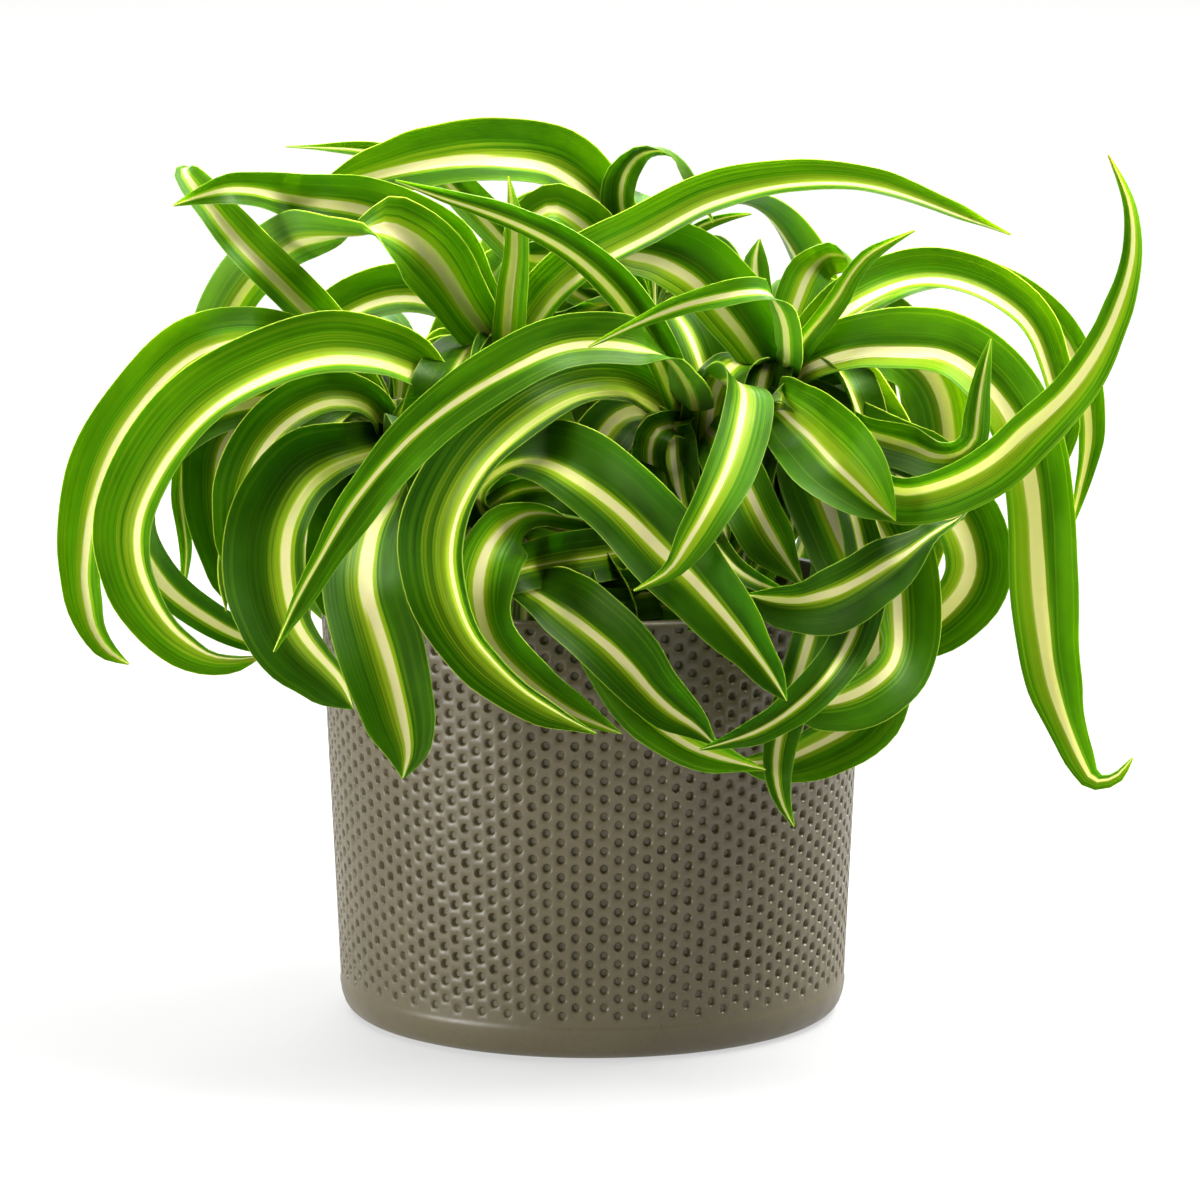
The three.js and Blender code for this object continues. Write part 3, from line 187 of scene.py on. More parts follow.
# Leaves: name, crown, fold of the channel in degrees, then the path from fan to tip. Each row has
# across, up, depth toward the eye, turn of the blade in degrees, width.
leafPaths = [
    ["topArch", "rearCrown", 22, [
        [9, 184, -26, 0, 9], [3, 197, -20, 20, 13], [-8, 206, -14, 25, 18], [-24, 208, -8, 28, 19],
        [-40, 206, -2, 28, 17], [-54, 202, 2, 25, 13], [-66, 199, 4, 20, 0]]],
    ["leftReach", "leftCrown", 20, [
        [-27, 175, 2, 10, 9], [-36, 187, 10, 10, 14], [-53, 195, 17, 8, 14], [-70, 197, 22, 10, 12],
        [-86, 199, 25, 10, 8], [-100, 195, 26, 0, 0]]],
    ["leftFold", "outerLeftCrown", 24, [
        [-58, 160, 0, 20, 9], [-70, 173, 12, 20, 12], [-83, 186, 16, 20, 12], [-93, 198, 14, 15, 9],
        [-97, 203, 10, 10, 5], [-96, 204, 4, 0, 0]]],
    ["leftDroop", "leftCrown", 18, [
        [-30, 170, 8, 0, 14], [-39, 183, 16, 0, 18], [-48, 190, 18, 30, 17], [-59, 190, 14, 110, 14],
        [-72, 187, 8, 165, 14], [-83, 178, 2, 170, 14], [-90, 166, -2, 175, 13], [-94, 151, -4, 175, 0]]],
    ["bigLeft", "outerLeftCrown", 24, [
        [-39, 154, 20, 20, 10], [-48, 160, 30, 30, 15], [-63, 162, 36, 30, 18], [-78, 158, 40, 30, 18],
        [-94, 149, 42, 30, 18], [-106, 135, 42, 30, 17.5], [-113, 118, 42, 28, 17], [-111, 103, 42, 28, 15],
        [-102, 90, 42, 36, 12], [-90, 84, 42, 50, 8], [-80, 86, 40, 50, 0]]],
    ["outerLeft", "outerLeftCrown", 24, [
        [-60, 158, 8, 20, 9], [-80, 165, 12, 25, 13], [-96, 162, 14, 25, 14], [-110, 149, 14, 25, 14],
        [-119, 134, 14, 20, 14], [-123, 117, 14, 15, 13], [-123, 101, 14, 10, 10], [-119, 89, 14, 0, 6],
        [-112, 84, 14, 0, 0]]],
    ["diagonal", "middleCrown", 14, [
        [24, 148, 20, 150, 11], [19, 159, 32, 100, 12], [7, 163, 44, 20, 13], [-8, 162, 52, 10, 13],
        [-24, 154, 60, 5, 13], [-41, 141, 68, 0, 12], [-56, 123, 76, 0, 10], [-67, 105, 82, 0, 6],
        [-77, 87, 84, 0, 0]]],
    ["bigHook", "middleCrown", 24, [
        [19, 146, 16, 20, 9], [9, 153, 26, 30, 14], [-4, 153, 36, 32, 17], [-18, 146, 48, 32, 19],
        [-31, 133, 60, 32, 19], [-38, 117, 70, 30, 19], [-37, 101, 78, 28, 17], [-30, 87, 82, 28, 13],
        [-15, 74, 84, 34, 9], [1, 67, 84, 30, 0]]],
    ["leftBack", "outerLeftCrown", 18, [
        [-58, 137, 12, 10, 12], [-70, 132, 24, 10, 18], [-78, 119, 36, 8, 20], [-79, 104, 46, 5, 20],
        [-74, 89, 54, 0, 17], [-64, 79, 60, 0, 12], [-58, 73, 64, 0, 0]]],
    ["broadHang", "outerLeftCrown", 16, [
        [-47, 129, 32, 0, 12], [-53, 117, 52, 0, 17], [-55, 103, 68, 0, 20], [-51, 87, 78, 0, 21],
        [-47, 72, 81, 0, 18], [-45, 62, 81, 0, 10], [-46, 56, 80, 0, 0]]],
    ["innerHook", "middleCrown", 18, [
        [14, 122, 26, -60, 6], [2, 118, 38, -70, 7], [-10, 119.5, 50, -70, 8.5], [-16, 119, 58, -50, 11],
        [-22, 114, 66, -15, 15], [-26, 104, 76, 10, 16], [-25, 92, 80, 30, 14], [-18, 83, 82, 20, 12],
        [-6, 74, 83, 5, 8], [7, 67, 83, 0, 0]]],
    ["lowDiagonal", "lowCrown", 18, [
        [-19.5, 103, 46, -80, 7], [-16, 104.2, 54, -65, 11], [-11, 102.3, 64, -35, 15],
        [-4, 97, 73, -10, 17], [7, 87, 79, 0, 17], [17, 75, 80, 0, 13], [25, 69, 81, 0, 7],
        [30, 64, 81, 0, 0]]],
    ["highDiagonal", "lowCrown", 16, [
        [-28, 121, 34, -30, 8], [-28.5, 127.5, 38, -40, 11], [-24, 133, 44, -45, 15],
        [-16.5, 136.2, 51, -45, 17], [-7.5, 134.8, 59, -25, 19], [6, 125, 68, 0, 19], [19, 111, 78, 0, 20],
        [31, 97, 82, 0, 16], [41, 84, 85, 0, 9], [47, 75, 85, 0, 0]]],
    ["foldOver", "middleCrown", 16, [
        [24.5, 141, 14, 0, 8], [28.5, 149, 24, 0, 10], [33.5, 152.5, 36, 0, 12], [36.8, 150, 48, 0, 12.5],
        [36, 141, 60, 0, 12.5], [32, 129, 70, 0, 12], [25, 116, 78, 0, 9], [18, 106, 84, 0, 4],
        [10, 102, 85, 0, 0]]],
    ["rightSweep", "rightCrown", 16, [
        [43, 149, 12, 0, 8], [49, 146, 24, 0, 9], [56, 140, 36, 0, 10], [63, 132, 45, 5, 10.5],
        [70.8, 124.7, 51, 10, 11], [79, 124, 57, 10, 11.5], [87, 126.4, 61, 0, 12],
        [97, 131.9, 64, 0, 12.5], [104.5, 139, 64, 0, 12], [117, 152.4, 62, 0, 10], [125, 168, 58, 0, 7.5],
        [129, 183, 55, 0, 5], [128, 196, 52, 0, 3], [123, 207, 50, 0, 0]]],
    ["rightFall", "rightCrown", 22, [
        [50, 157, 8, -20, 11], [62, 162, 16, -26, 15], [75, 163, 22, -26, 17], [87, 161, 27, -22, 17],
        [98, 152, 31, -12, 17.5], [105, 139, 34, 0, 17], [108, 122, 36, 0, 17], [109, 103, 37, 0, 17.5],
        [111, 83, 37, 0, 15], [116, 66, 37, 0, 9], [122, 55, 36, 20, 5], [127, 56, 35, 40, 4],
        [131, 61, 34, 20, 0]]],
    ["rightArch", "rightCrown", 24, [
        [53, 166, -6, -20, 9], [64, 175, -10, -28, 12], [79, 180, -13, -30, 12.5],
        [94, 177, -15, -30, 11.5], [106, 168, -17, -30, 10.5], [111, 156, -18, -25, 9],
        [114, 142, -19, -15, 7], [112, 129, -20, 0, 0]]],
    ["farRight", "rightCrown", 22, [
        [57, 165, -26, -15, 8], [68, 174, -36, -20, 9], [83, 179, -42, -20, 9], [98, 176.5, -45, -20, 9],
        [111, 167, -46, -15, 9], [118, 154, -46, -10, 8.5], [120, 140, -46, 0, 7], [118, 128, -46, 0, 4],
        [115, 116, -45, 0, 0]]],
    ["topRight", "leftCrown", 22, [
        [-14, 171, 0, -20, 12], [-3, 182, 8, -25, 13], [12, 190, 14, -25, 12], [28, 198, 18, -25, 11],
        [48, 202, 20, -25, 9], [67, 201, 20, -25, 7], [84, 195, 20, -20, 4.5], [100, 188, 20, -10, 0]]],
    ["topCross", "middleCrown", 20, [
        [20, 152, 22, -20, 9], [15, 163, 30, -20, 10], [6, 176, 36, -20, 9.5], [-6, 186, 39, -20, 8],
        [-21, 193, 40, -20, 6], [-34, 197, 40, -15, 3.5], [-47, 201, 40, 0, 0]]],
    ["spike", "leftCrown", 30, [
        [-20, 165, 10, 0, 9], [-19, 176, 14, 0, 8.5], [-18, 187, 16, 0, 6.5], [-20, 202, 16, 0, 0]]],
    ["crossingTip", "rightCrown", 18, [
        [47, 160, 30, 150, 8], [46, 169, 38, 140, 8], [42, 175, 44, 60, 7.5], [33, 174, 48, 10, 6.5],
        [21, 171, 50, 0, 5], [9, 166, 51, 0, 2.5], [-1, 161, 51, 0, 0]]],
    ["smallTip", "rightCrown", 25, [
        [42, 163, -14, 0, 8], [40, 172, -20, 0, 8], [39, 180, -22, 0, 7], [40, 187, -24, 0, 0]]],
    ["curlTop", "rightCrown", 18, [
        [47, 164, -10, 0, 9], [49, 172, -16, 0, 12], [53, 180, -20, 0, 11], [59, 183, -22, 50, 9],
        [62, 179, -16, 100, 7], [58, 174, -10, 140, 0]]],
    ["thinTip", "rightCrown", 26, [
        [51, 162, 12, 0, 6], [58, 171, 14, 0, 6], [65, 182, 14, 0, 4.5], [77, 189, 14, 0, 0]]],
    ["rearTip", "rearCrown", 26, [
        [15, 176, -36, 50, 6], [21, 186, -40, 40, 5], [28, 191, -42, 30, 3.5], [38, 193, -42, 0, 0]]],
    ["topCurl", "rearCrown", 22, [
        [8, 186, -20, 0, 8], [6, 199, -18, 0, 9], [10, 206, -18, 40, 8], [17, 207, -22, 80, 8],
        [23, 202, -28, 120, 6], [29, 191, -32, 140, 0]]],
    ["rightSpike", "rightCrown", 26, [
        [64, 140, 24, 0, 10], [76, 136.5, 36, 0, 12], [85.5, 134, 43, 0, 10.5], [91.5, 138, 47, 0, 7.5],
        [92.5, 146, 48, 0, 7], [93.5, 154, 48, 0, 4.5], [95.5, 163, 46, 0, 0]]],
    ["twistBlade", "rightCrown", 16, [
        [62, 139, 12, 90, 9], [81, 127, 30, 100, 10], [89, 122, 44, 80, 8], [81, 116, 54, 50, 8],
        [70, 107, 62, 10, 14], [57, 99, 68, 0, 16], [45, 98, 72, 0, 10], [37, 101, 72, 0, 0]]],
    ["shortThin", "middleCrown", 25, [
        [26, 124, 40, 0, 7], [30, 113, 56, 0, 6.5], [38, 105, 66, 0, 5], [51, 100, 72, 0, 0]]],
    ["rightLoop", "rightCrown", 18, [
        [62, 141, -2, 0, 12], [80, 130, 8, 0, 16], [91, 118, 16, 0, 17], [93, 105, 20, 0, 17],
        [86, 95, 22, 0, 15], [75, 89, 20, 0, 9], [66, 90, 14, 0, 0]]],
    ["lowRing", "rightCrown", 20, [
        [62, 131, 30, 0, 14], [73, 113, 40, -10, 18], [76, 98, 50, -15, 17], [75, 84, 58, -15, 15],
        [67, 76, 66, -20, 15], [56, 73, 71, -20, 12], [46, 74, 74, -10, 0]]],
    ["lowSweep", "rightCrown", 22, [
        [62, 124, 40, -20, 9], [66, 105, 56, -20, 11], [62, 89, 68, -10, 11], [53, 77, 77, 0, 10],
        [41, 68, 82, 0, 7], [26, 63, 84, 0, 0]]],
    ["underLeft", "lowCrown", 20, [
        [-6, 110, 46, 0, 8], [-2, 98, 60, 0, 10], [3, 86, 72, 0, 12], [12, 73, 77, 0, 13],
        [25, 63, 79, 0, 10], [42, 58, 78, 0, 0]]],
    ["underRight", "rightCrown", 20, [
        [67, 110, 28, 0, 14], [70, 88, 44, 0, 16], [67, 71, 58, -10, 16], [56, 63, 67, -10, 14],
        [44, 59, 72, 0, 9], [34, 60, 74, 0, 0]]],
    ["hangTip", "rightCrown", 20, [
        [57, 110, 36, 0, 9], [53, 90, 56, 0, 10], [48, 74, 70, 0, 9], [45, 60, 74, 0, 8],
        [46, 51, 75, 0, 4], [49, 44, 75, 0, 0]]],
    ["leftLoop", "outerLeftCrown", 20, [
        [-65, 146, -14, 0, 9], [-88, 146, -20, 0, 11], [-104, 135, -20, 10, 11], [-110, 119, -16, 0, 10],
        [-104, 105, -12, 0, 10], [-92, 95, -10, 0, 9], [-79, 89, -10, 0, 6], [-69, 88, -12, 0, 0]]],
    ["thinHang", "outerLeftCrown", 26, [
        [-68, 149, -28, 0, 7], [-84, 149, -32, 0, 7], [-95, 141, -32, 0, 6], [-99, 127, -30, 0, 5.5],
        [-98, 112, -26, 0, 3.5], [-99, 100, -22, 0, 0]]],
    ["darkCurl", "outerLeftCrown", 18, [
        [-62, 142, -16, 0, 12], [-77, 146, -22, 10, 16], [-89, 139, -24, 10, 17], [-91, 124, -22, 0, 16],
        [-87, 107, -18, 0, 13], [-81, 93, -14, 0, 0]]],
    ["leftInner", "outerLeftCrown", 24, [
        [-53, 148, 10, 20, 9], [-65, 150, 20, 26, 12], [-78, 142, 28, 26, 13], [-85, 129, 33, 22, 13],
        [-86, 113, 36, 20, 10], [-83, 100, 36, 20, 0]]],
    ["darkUpper", "leftCrown", 22, [
        [-29, 168, -8, 20, 10], [-42, 175, -10, 26, 14], [-57, 172, -12, 26, 14], [-69, 162, -12, 20, 11],
        [-76, 148, -12, 0, 0]]],
    ["farReach", "rearCrown", 22, [
        [-4, 175, -38, 0, 8], [-17, 184, -42, 0, 10], [-27, 194, -44, 0, 10], [-38, 204, -45, 10, 9],
        [-51, 208, -45, 30, 5], [-73, 209, -45, 30, 0]]],
    ["greyCurl", "rearCrown", 18, [
        [7, 178, -16, 0, 10], [0, 189, -12, 10, 13], [-10, 195, -8, 20, 12], [-17, 190, -4, 30, 9],
        [-20, 182, -2, 30, 0]]],
    ["backBand", "leftCrown", 20, [
        [-23, 172, -14, 140, 8], [-19, 182, -16, 60, 10], [-9, 183, -16, 20, 10], [3, 187, -16, 10, 8],
        [15, 193, -18, 0, 0]]],
    ["darkRight", "rightCrown", 18, [
        [42, 159, 8, 0, 14], [34, 171, 10, 0, 18], [24, 181, 8, 0, 18], [12, 185, 2, 0, 14],
        [0, 184, -6, 0, 0]]],
    ["innerCurl", "middleCrown", 20, [
        [19, 142, 22, 20, 8], [14, 139, 32, 20, 9], [15, 129, 38, 0, 8], [23, 120, 40, 0, 0]]],
    ["hangMiddle", "middleCrown", 16, [
        [29, 139, 24, 0, 11], [35, 129, 38, 0, 14], [42, 115, 48, 0, 13], [51, 103, 54, 0, 0]]],
    ["hangRight", "rightCrown", 16, [
        [50, 141, 18, 0, 14], [55, 127, 34, 0, 19], [62, 110, 44, 0, 18], [69, 93, 50, 0, 0]]],
    ["rightBackArc", "rightCrown", 18, [
        [57, 157, -16, -10, 12], [70, 160, -22, -20, 18], [81, 152, -26, -10, 20], [84, 136, -28, 0, 18],
        [80, 119, -28, 0, 12], [73, 107, -24, 0, 0]]],
    ["rightMiddle", "rightCrown", 16, [
        [59, 145, 6, -10, 11], [69, 139, 18, -20, 14], [81, 134, 24, -15, 13], [94, 129, 24, -10, 0]]],
    ["coreLeft", "leftCrown", 16, [
        [-25, 148, 6, 0, 9], [-33, 138, 15, 0, 13], [-36, 124, 20, 0, 13], [-34, 108, 22, 0, 0]]],
    ["coreMiddle", "middleCrown", 16, [
        [18, 144, 14, 20, 9], [8, 145, 22, 20, 13], [0, 134, 27, 0, 15], [-2, 119, 30, 0, 12],
        [2, 106, 31, 0, 0]]],
    ["coreRight", "middleCrown", 16, [
        [25, 132, 18, 0, 9], [24, 121, 26, 0, 12], [20, 109, 32, 0, 10], [14, 101, 34, 0, 0]]],
    ["coreLow", "lowCrown", 16, [
        [-11, 116, 30, 0, 8], [-2, 119, 30, 0, 10], [7, 113, 31, 0, 9], [14, 104, 34, 0, 0]]],
    ["coreBack", "leftCrown", 16, [
        [-13, 160, -6, -20, 9], [-2, 162, -12, -20, 14], [8, 152, -14, 0, 15], [11, 136, -12, 0, 12],
        [8, 118, -10, 0, 0]]],
]

# Leaves of the far side fall in lanes round three crowns: reach outward and height, base to tip.
rearUpper = [(6, 178), (20, 190), (38, 190), (55, 176), (66, 152), (68, 124), (60, 98), (48, 86)]
rearLower = [(8, 162), (20, 166), (32, 156), (43, 134), (50, 108), (52, 84), (48, 62)]
rearWidths = [8, 13, 15.5, 16, 15, 12, 8, 0]
rearLanes = [
    {"crown": "rearCrown", "shape": rearUpper, "bearings": (38, 60, 80, 100, 122, 144), "reach": 1,
     "rise": 1},
    {"crown": "rearCrown", "shape": rearLower, "bearings": (52, 78, 103, 130), "reach": 1, "rise": 1},
    {"crown": "rightCrown", "shape": rearUpper, "bearings": (64, 44, 24), "reach": 0.72, "rise": 0.8},
    {"crown": "outerLeftCrown", "shape": rearUpper, "bearings": (116, 134, 152), "reach": 0.72, "rise": 0.72},
]
eye = np.array((0, -camera["distance"], camera["height"]), dtype=float)
blades = []
# Far leaves scale up from one height, swing a little round, and every second one is shorter.
rearRule = {"from": 96, "shorter": 0.88, "swing": 1.7, "back": 4}
# A leaf leaves its stem most of the way up, a hair aside from the one before, and starts narrow.
rootRule = {"from": 0.7, "turn": 2.4, "shift": 0.2, "rise": 0.1, "width": 3.5, "neck": 7}
foldSides = {"foldOver": (-0.88, 0, 0.47)}  # this leaf bends right over, so its width keeps one direction


def fromFront(across, up, depth):
    share = depth / camera["distance"]
    return np.array((across * (1 - share), -depth, up + (camera["height"] - up) * share))


def toFront(point):
    share = -point[1] / camera["distance"]
    return np.array((point[0] / (1 - share), (point[2] - camera["height"] * share) / (1 - share), -point[1]))


def lengthOf(vector):
    return math.sqrt(vector[0] ** 2 + vector[1] ** 2 + vector[2] ** 2)


def unit(vector):
    return vector / lengthOf(vector)


def crossOf(a, b):
    return np.array((a[1] * b[2] - a[2] * b[1], a[2] * b[0] - a[0] * b[2], a[0] * b[1] - a[1] * b[0]))


def smoothPoint(points, span, share):
    # a smooth line through the points, its knots spaced by the square root of the distance
    b, c = points[span], points[span + 1]
    a, d = points[max(span - 1, 0)], points[min(span + 2, len(points) - 1)]
    reach = lengthOf(c - b)
    first = math.sqrt(max(lengthOf(a - b), reach * 0.5))
    middle = math.sqrt(reach)
    last = math.sqrt(max(lengthOf(d - c), reach * 0.5))
    enter = ((b - a) / first - (c - a) / (first + middle) + (c - b) / middle) * middle
    leave = ((c - b) / middle - (d - b) / (middle + last) + (d - c) / last) * middle
    square = share * share
    cube = square * share
    return (b * (2 * cube - 3 * square + 1) + enter * (cube - 2 * square + share)
            + c * (3 * square - 2 * cube) + leave * (cube - square))


def setStations(points, turns, widths, spacing):
    # the path is walked in small steps and then divided evenly; each station knows its turn and width
    walk = []
    steps = 12
    length = 0.0
    for span in range(len(points) - 1):
        for step in range(1 if span else 0, steps + 1):
            share = step / steps
            blend = share * share * (3 - 2 * share)
            place = smoothPoint(points, span, share)
            if walk:
                length += lengthOf(place - walk[-1][0])
            walk.append((place, length, turns[span] + (turns[span + 1] - turns[span]) * blend,
                         widths[span] + (widths[span + 1] - widths[span]) * blend))
    count = 2 * max(4, math.floor(length / spacing + 0.5))
    stations = []
    index = 0
    for i in range(count + 1):
        goal = length * i / count
        while index < len(walk) - 2 and walk[index + 1][1] < goal:
            index += 1
        a, b = walk[index], walk[index + 1]
        share = (goal - a[1]) / (b[1] - a[1])
        place, turn, width = (a[k] + (b[k] - a[k]) * share for k in (0, 2, 3))
        stations.append({"place": place, "turn": math.radians(turn), "width": width, "along": goal})
    return stations


def setFrames(blade):
    # the face of a blade looks at the eye unless its width keeps one direction, and is then turned
    stations = blade["stations"]
    for i, station in enumerate(stations):
        forward = unit(stations[min(i + 1, len(stations) - 1)]["place"] - stations[max(i - 1, 0)]["place"])
        free = blade["side"] is None
        face = unit(eye - station["place"]) if free else crossOf(blade["side"], forward)
        face = unit(face - forward * face.dot(forward))
        cross = crossOf(forward, face)
        turn = station["turn"]
        station["across"] = cross * math.cos(turn) - face * math.sin(turn)
        station["face"] = face * math.cos(turn) + cross * math.sin(turn)
        offset = -0.5 * station["width"] * math.sin(turn) * math.sin(blade["fold"]) if free else 0
        station["middle"] = station["place"] + cross * offset


def bladePoint(station, fold, side):
    reach = 0.5 * max(station["width"], leafSizes["tipWidth"]) * side
    return (station["middle"] + station["across"] * (reach * math.cos(fold))
            + station["face"] * (abs(reach) * math.sin(fold)))


def makeBlade(name, crown, fold, points, turns, widths, side=None, layer="front"):
    fan = fromFront(*crowns[crown]["fan"])
    foot = np.array((*crowns[crown]["foot"], soilSizes["middleHeight"]), dtype=float)
    root = foot + (fan - foot) * rootRule["from"]
    count = len(blades) + 1  # leaves leave their stem one after another, each a golden angle further round
    angle, aside = count * rootRule["turn"], rootRule["shift"]
    shift = np.array((math.cos(angle) * aside, math.sin(angle) * aside, (count % 7) * rootRule["rise"]))
    root, fan = root + shift, fan + shift
    spacing = leafSizes["ringSpacing"] if side is None else leafSizes["rearRingSpacing"]
    blade = {"name": name, "crown": crown, "side": side, "layer": layer, "fold": math.radians(fold),
             "fanLength": lengthOf(root - fan),
             "stations": setStations([root, fan, *points], [turns[0], turns[0], *turns],
                                     [rootRule["width"], min(widths[0], rootRule["neck"]), *widths], spacing)}
    setFrames(blade)
    blades.append(blade)


def makeFront(name, crown, fold, rows, layer):
    side = np.array(foldSides[name]) if name in foldSides else None
    makeBlade(name, crown, fold, [fromFront(*row[:3]) for row in rows],
              [row[3] for row in rows], [row[4] for row in rows], side, layer)


for leaf in leafPaths:
    makeFront(*leaf, "front")

for lanes in rearLanes:
    crown = lanes["crown"]
    footX, footY = crowns[crown]["foot"]
    for lane, bearing in enumerate(lanes["bearings"]):
        sideways = np.array((math.sin(math.radians(bearing)), -math.cos(math.radians(bearing)), 0))
        stagger = rearRule["shorter"] if lane % 2 else 1
        points = []
        for i, (out, height) in enumerate(lanes["shape"]):
            angle = math.radians(bearing + i * rearRule["swing"])
            points.append(np.array((
                footX + math.cos(angle) * out * lanes["reach"] * stagger,
                footY + rearRule["back"] + math.sin(angle) * out * lanes["reach"],
                rearRule["from"] + (height - rearRule["from"]) * lanes["rise"] * stagger)))
        widths = rearWidths[:1] + rearWidths[len(rearWidths) - len(points) + 1:]
        makeBlade(crown + "Rear" + str(bearing), crown, leafSizes["rearFold"], points,
                  [0] * len(points), widths, sideways, "rear")


def crownRings(crown):
    # the stem of a crown, from low in the mix to the fan: x, y, z and radius of each ring
    fan = fromFront(*crown["fan"])
    footX, footY = crown["foot"]
    top = soilSizes["middleHeight"] + 3
    radius = crownSizes["radius"]
    rings = [(footX, footY, crownSizes["bottom"], radius), (footX, footY, top, radius)]
    for share in (0.35, 0.7, 1):
        ease = share * share * (3 - 2 * share)
        rings.append((footX + (fan[0] - footX) * ease, footY + (fan[1] - footY) * ease,
                      top + (fan[2] - top) * share, radius + (crownSizes["topRadius"] - radius) * share))
    return rings


def stemRing(rings, place):
    # a ring anywhere up the stem; place counts rings from the first
    span = min(math.floor(place), len(rings) - 2)
    return [v + (w - v) * (place - span) for v, w in zip(rings[span], rings[span + 1])]


# Blades that cross, as the eye sees them, are bent clear of one another along the sight line.
bendRule = {"cell": 4, "steepest": 1.2, "nearFan": 16, "bladeHalf": 0.6, "rounds": 90, "pace": 0.8,
            "overPot": 4}
sheetSides = (-1, -0.5, 0, 0.5, 1)


def leafSheets(layers):
    # every blade and stem as a grid of points; only the blades of these layers may bend
    sheets = []
    for blade in blades:
        sheets.append({"blade": blade, "crown": blade["crown"], "half": bendRule["bladeHalf"],
                       "fixed": blade["layer"] not in layers, "rear": blade["layer"] == "rear",
                       "grid": [[toFront(bladePoint(station, blade["fold"], side)) for side in sheetSides]
                                for station in blade["stations"]]})
    for name, crown in crowns.items():
        rings = [stemRing(crownRings(crown)[1:], i * 0.375) for i in range(9)]
        grid = [[toFront((x + side * radius, y, z)) for side in sheetSides] for x, y, z, radius in rings]
        sheets.append({"blade": None, "crown": name, "half": crownSizes["radius"], "fixed": True,
                       "rear": False, "grid": grid})
    first = 0
    for sheet in sheets:
        sheet["first"] = first
        first += len(sheet["grid"])
    return sheets, first


def sheetSpots(sheets):
    # each point of the grids with its sheet, station, cell and the slopes of the blade there
    spots = []
    steepest = bendRule["steepest"]
    for number, sheet in enumerate(sheets):
        grid = sheet["grid"]
        for i, line in enumerate(grid):
            before, after = grid[max(i - 1, 0)], grid[min(i + 1, len(grid) - 1)]
            for j, spot in enumerate(line):
                normal = crossOf(after[j] - before[j], line[min(j + 1, 4)] - line[max(j - 1, 0)])
                flat = normal[2] if abs(normal[2]) > 1e-9 else 1e-9
                slopes = [max(-steepest, min(steepest, -normal[k] / flat)) for k in (0, 1)]
                cell = (math.floor(spot[0] / bendRule["cell"]), math.floor(spot[1] / bendRule["cell"]))
                spots.append((number, i, cell, [float(v) for v in spot], slopes))
    return spots


def nearFan(sheet, i):
    blade = sheet["blade"]
    return blade is None or blade["stations"][i]["along"] < blade["fanLength"] + bendRule["nearFan"]


def mayTouch(one, i, two, j):
    # leaves may touch at their own fan, and those of the far side among themselves
    sameFan = one["crown"] == two["crown"] and (nearFan(one, i) or nearFan(two, j))
    return (one["fixed"] and two["fixed"]) or sameFan or (one["rear"] and two["rear"])


def findCrossings(sheets):
    # for each pair of sheets, where their stations cross and by how much the first leads there
    spots = sheetSpots(sheets)
    cells = {}
    for spot in spots:
        cells.setdefault(spot[2], []).append(spot)
    crossings = {}
    for one, i, (cellX, cellY), spot, slopes in spots:
        around = [(x, y) for x in range(cellX - 1, cellX + 2) for y in range(cellY - 1, cellY + 2)]
        for two, j, cell, other, otherSlopes in [entry for key in around for entry in cells.get(key, ())]:
            stepX, stepY = other[0] - spot[0], other[1] - spot[1]
            if two <= one or stepX * stepX + stepY * stepY > bendRule["cell"] ** 2:
                continue
            if not mayTouch(sheets[one], i, sheets[two], j):
                lead = (spot[2] + (slopes[0] * stepX + slopes[1] * stepY) / 2
                        - other[2] + (otherSlopes[0] * stepX + otherSlopes[1] * stepY) / 2)
                crossings.setdefault((one, two), {}).setdefault((i, j), []).append(lead)
    return crossings


def findContacts(sheets):
    # where two blades cross in one patch, the one that leads on the whole goes in front all over it
    contacts = []
    for (one, two), waiting in findCrossings(sheets).items():
        sheetA, sheetB = sheets[one], sheets[two]
        goal = leafSizes["gap"] + sheetA["half"] + sheetB["half"]
        part = 1.0 if sheetA["fixed"] or sheetB["fixed"] else 0.5
        while waiting:
            queue, patch = [next(iter(waiting))], []
            while queue:
                key = queue.pop()
                if key in waiting:
                    patch += [(key, lead) for lead in waiting.pop(key)]
                    queue += [(key[0] + a, key[1] + b) for a in (-1, 0, 1) for b in (-1, 0, 1) if a or b]
            ahead = sum(lead for key, lead in patch) >= 0 or (sheetA["blade"] and sheetB["rear"])
            contacts += [(sheetA["first"] + i, sheetB["first"] + j, lead, 1 if ahead else -1, goal, part)
                         for (i, j), lead in patch]
    return contacts


def clearPot(sheet, shift, rise, fall):
    # what hangs beside the pot stays outside its wall
    wall = potSizes["rimRadius"] + leafSizes["potGap"]
    top = potSizes["height"] + leafSizes["potGap"] * (bendRule["overPot"] if sheet["rear"] else 1)
    blade = sheet["blade"]
    for i, line in enumerate(sheet["grid"]):
        if blade["layer"] == "inner" or blade["stations"][i]["along"] < blade["fanLength"] + 4:
            continue
        row = sheet["first"] + i
        for spot in line:
            depth = spot[2] + shift[row]
            share = depth / camera["distance"]
            x = spot[0] * (1 - share)
            z = spot[1] + (camera["height"] - spot[1]) * share
            if z > top or abs(x) > wall:
                continue
            clear = math.sqrt(wall * wall - x * x)
            if sheet["rear"]:
                fall[row] = max(fall[row], depth + clear)
            else:
                rise[row] = max(rise[row], clear - depth)


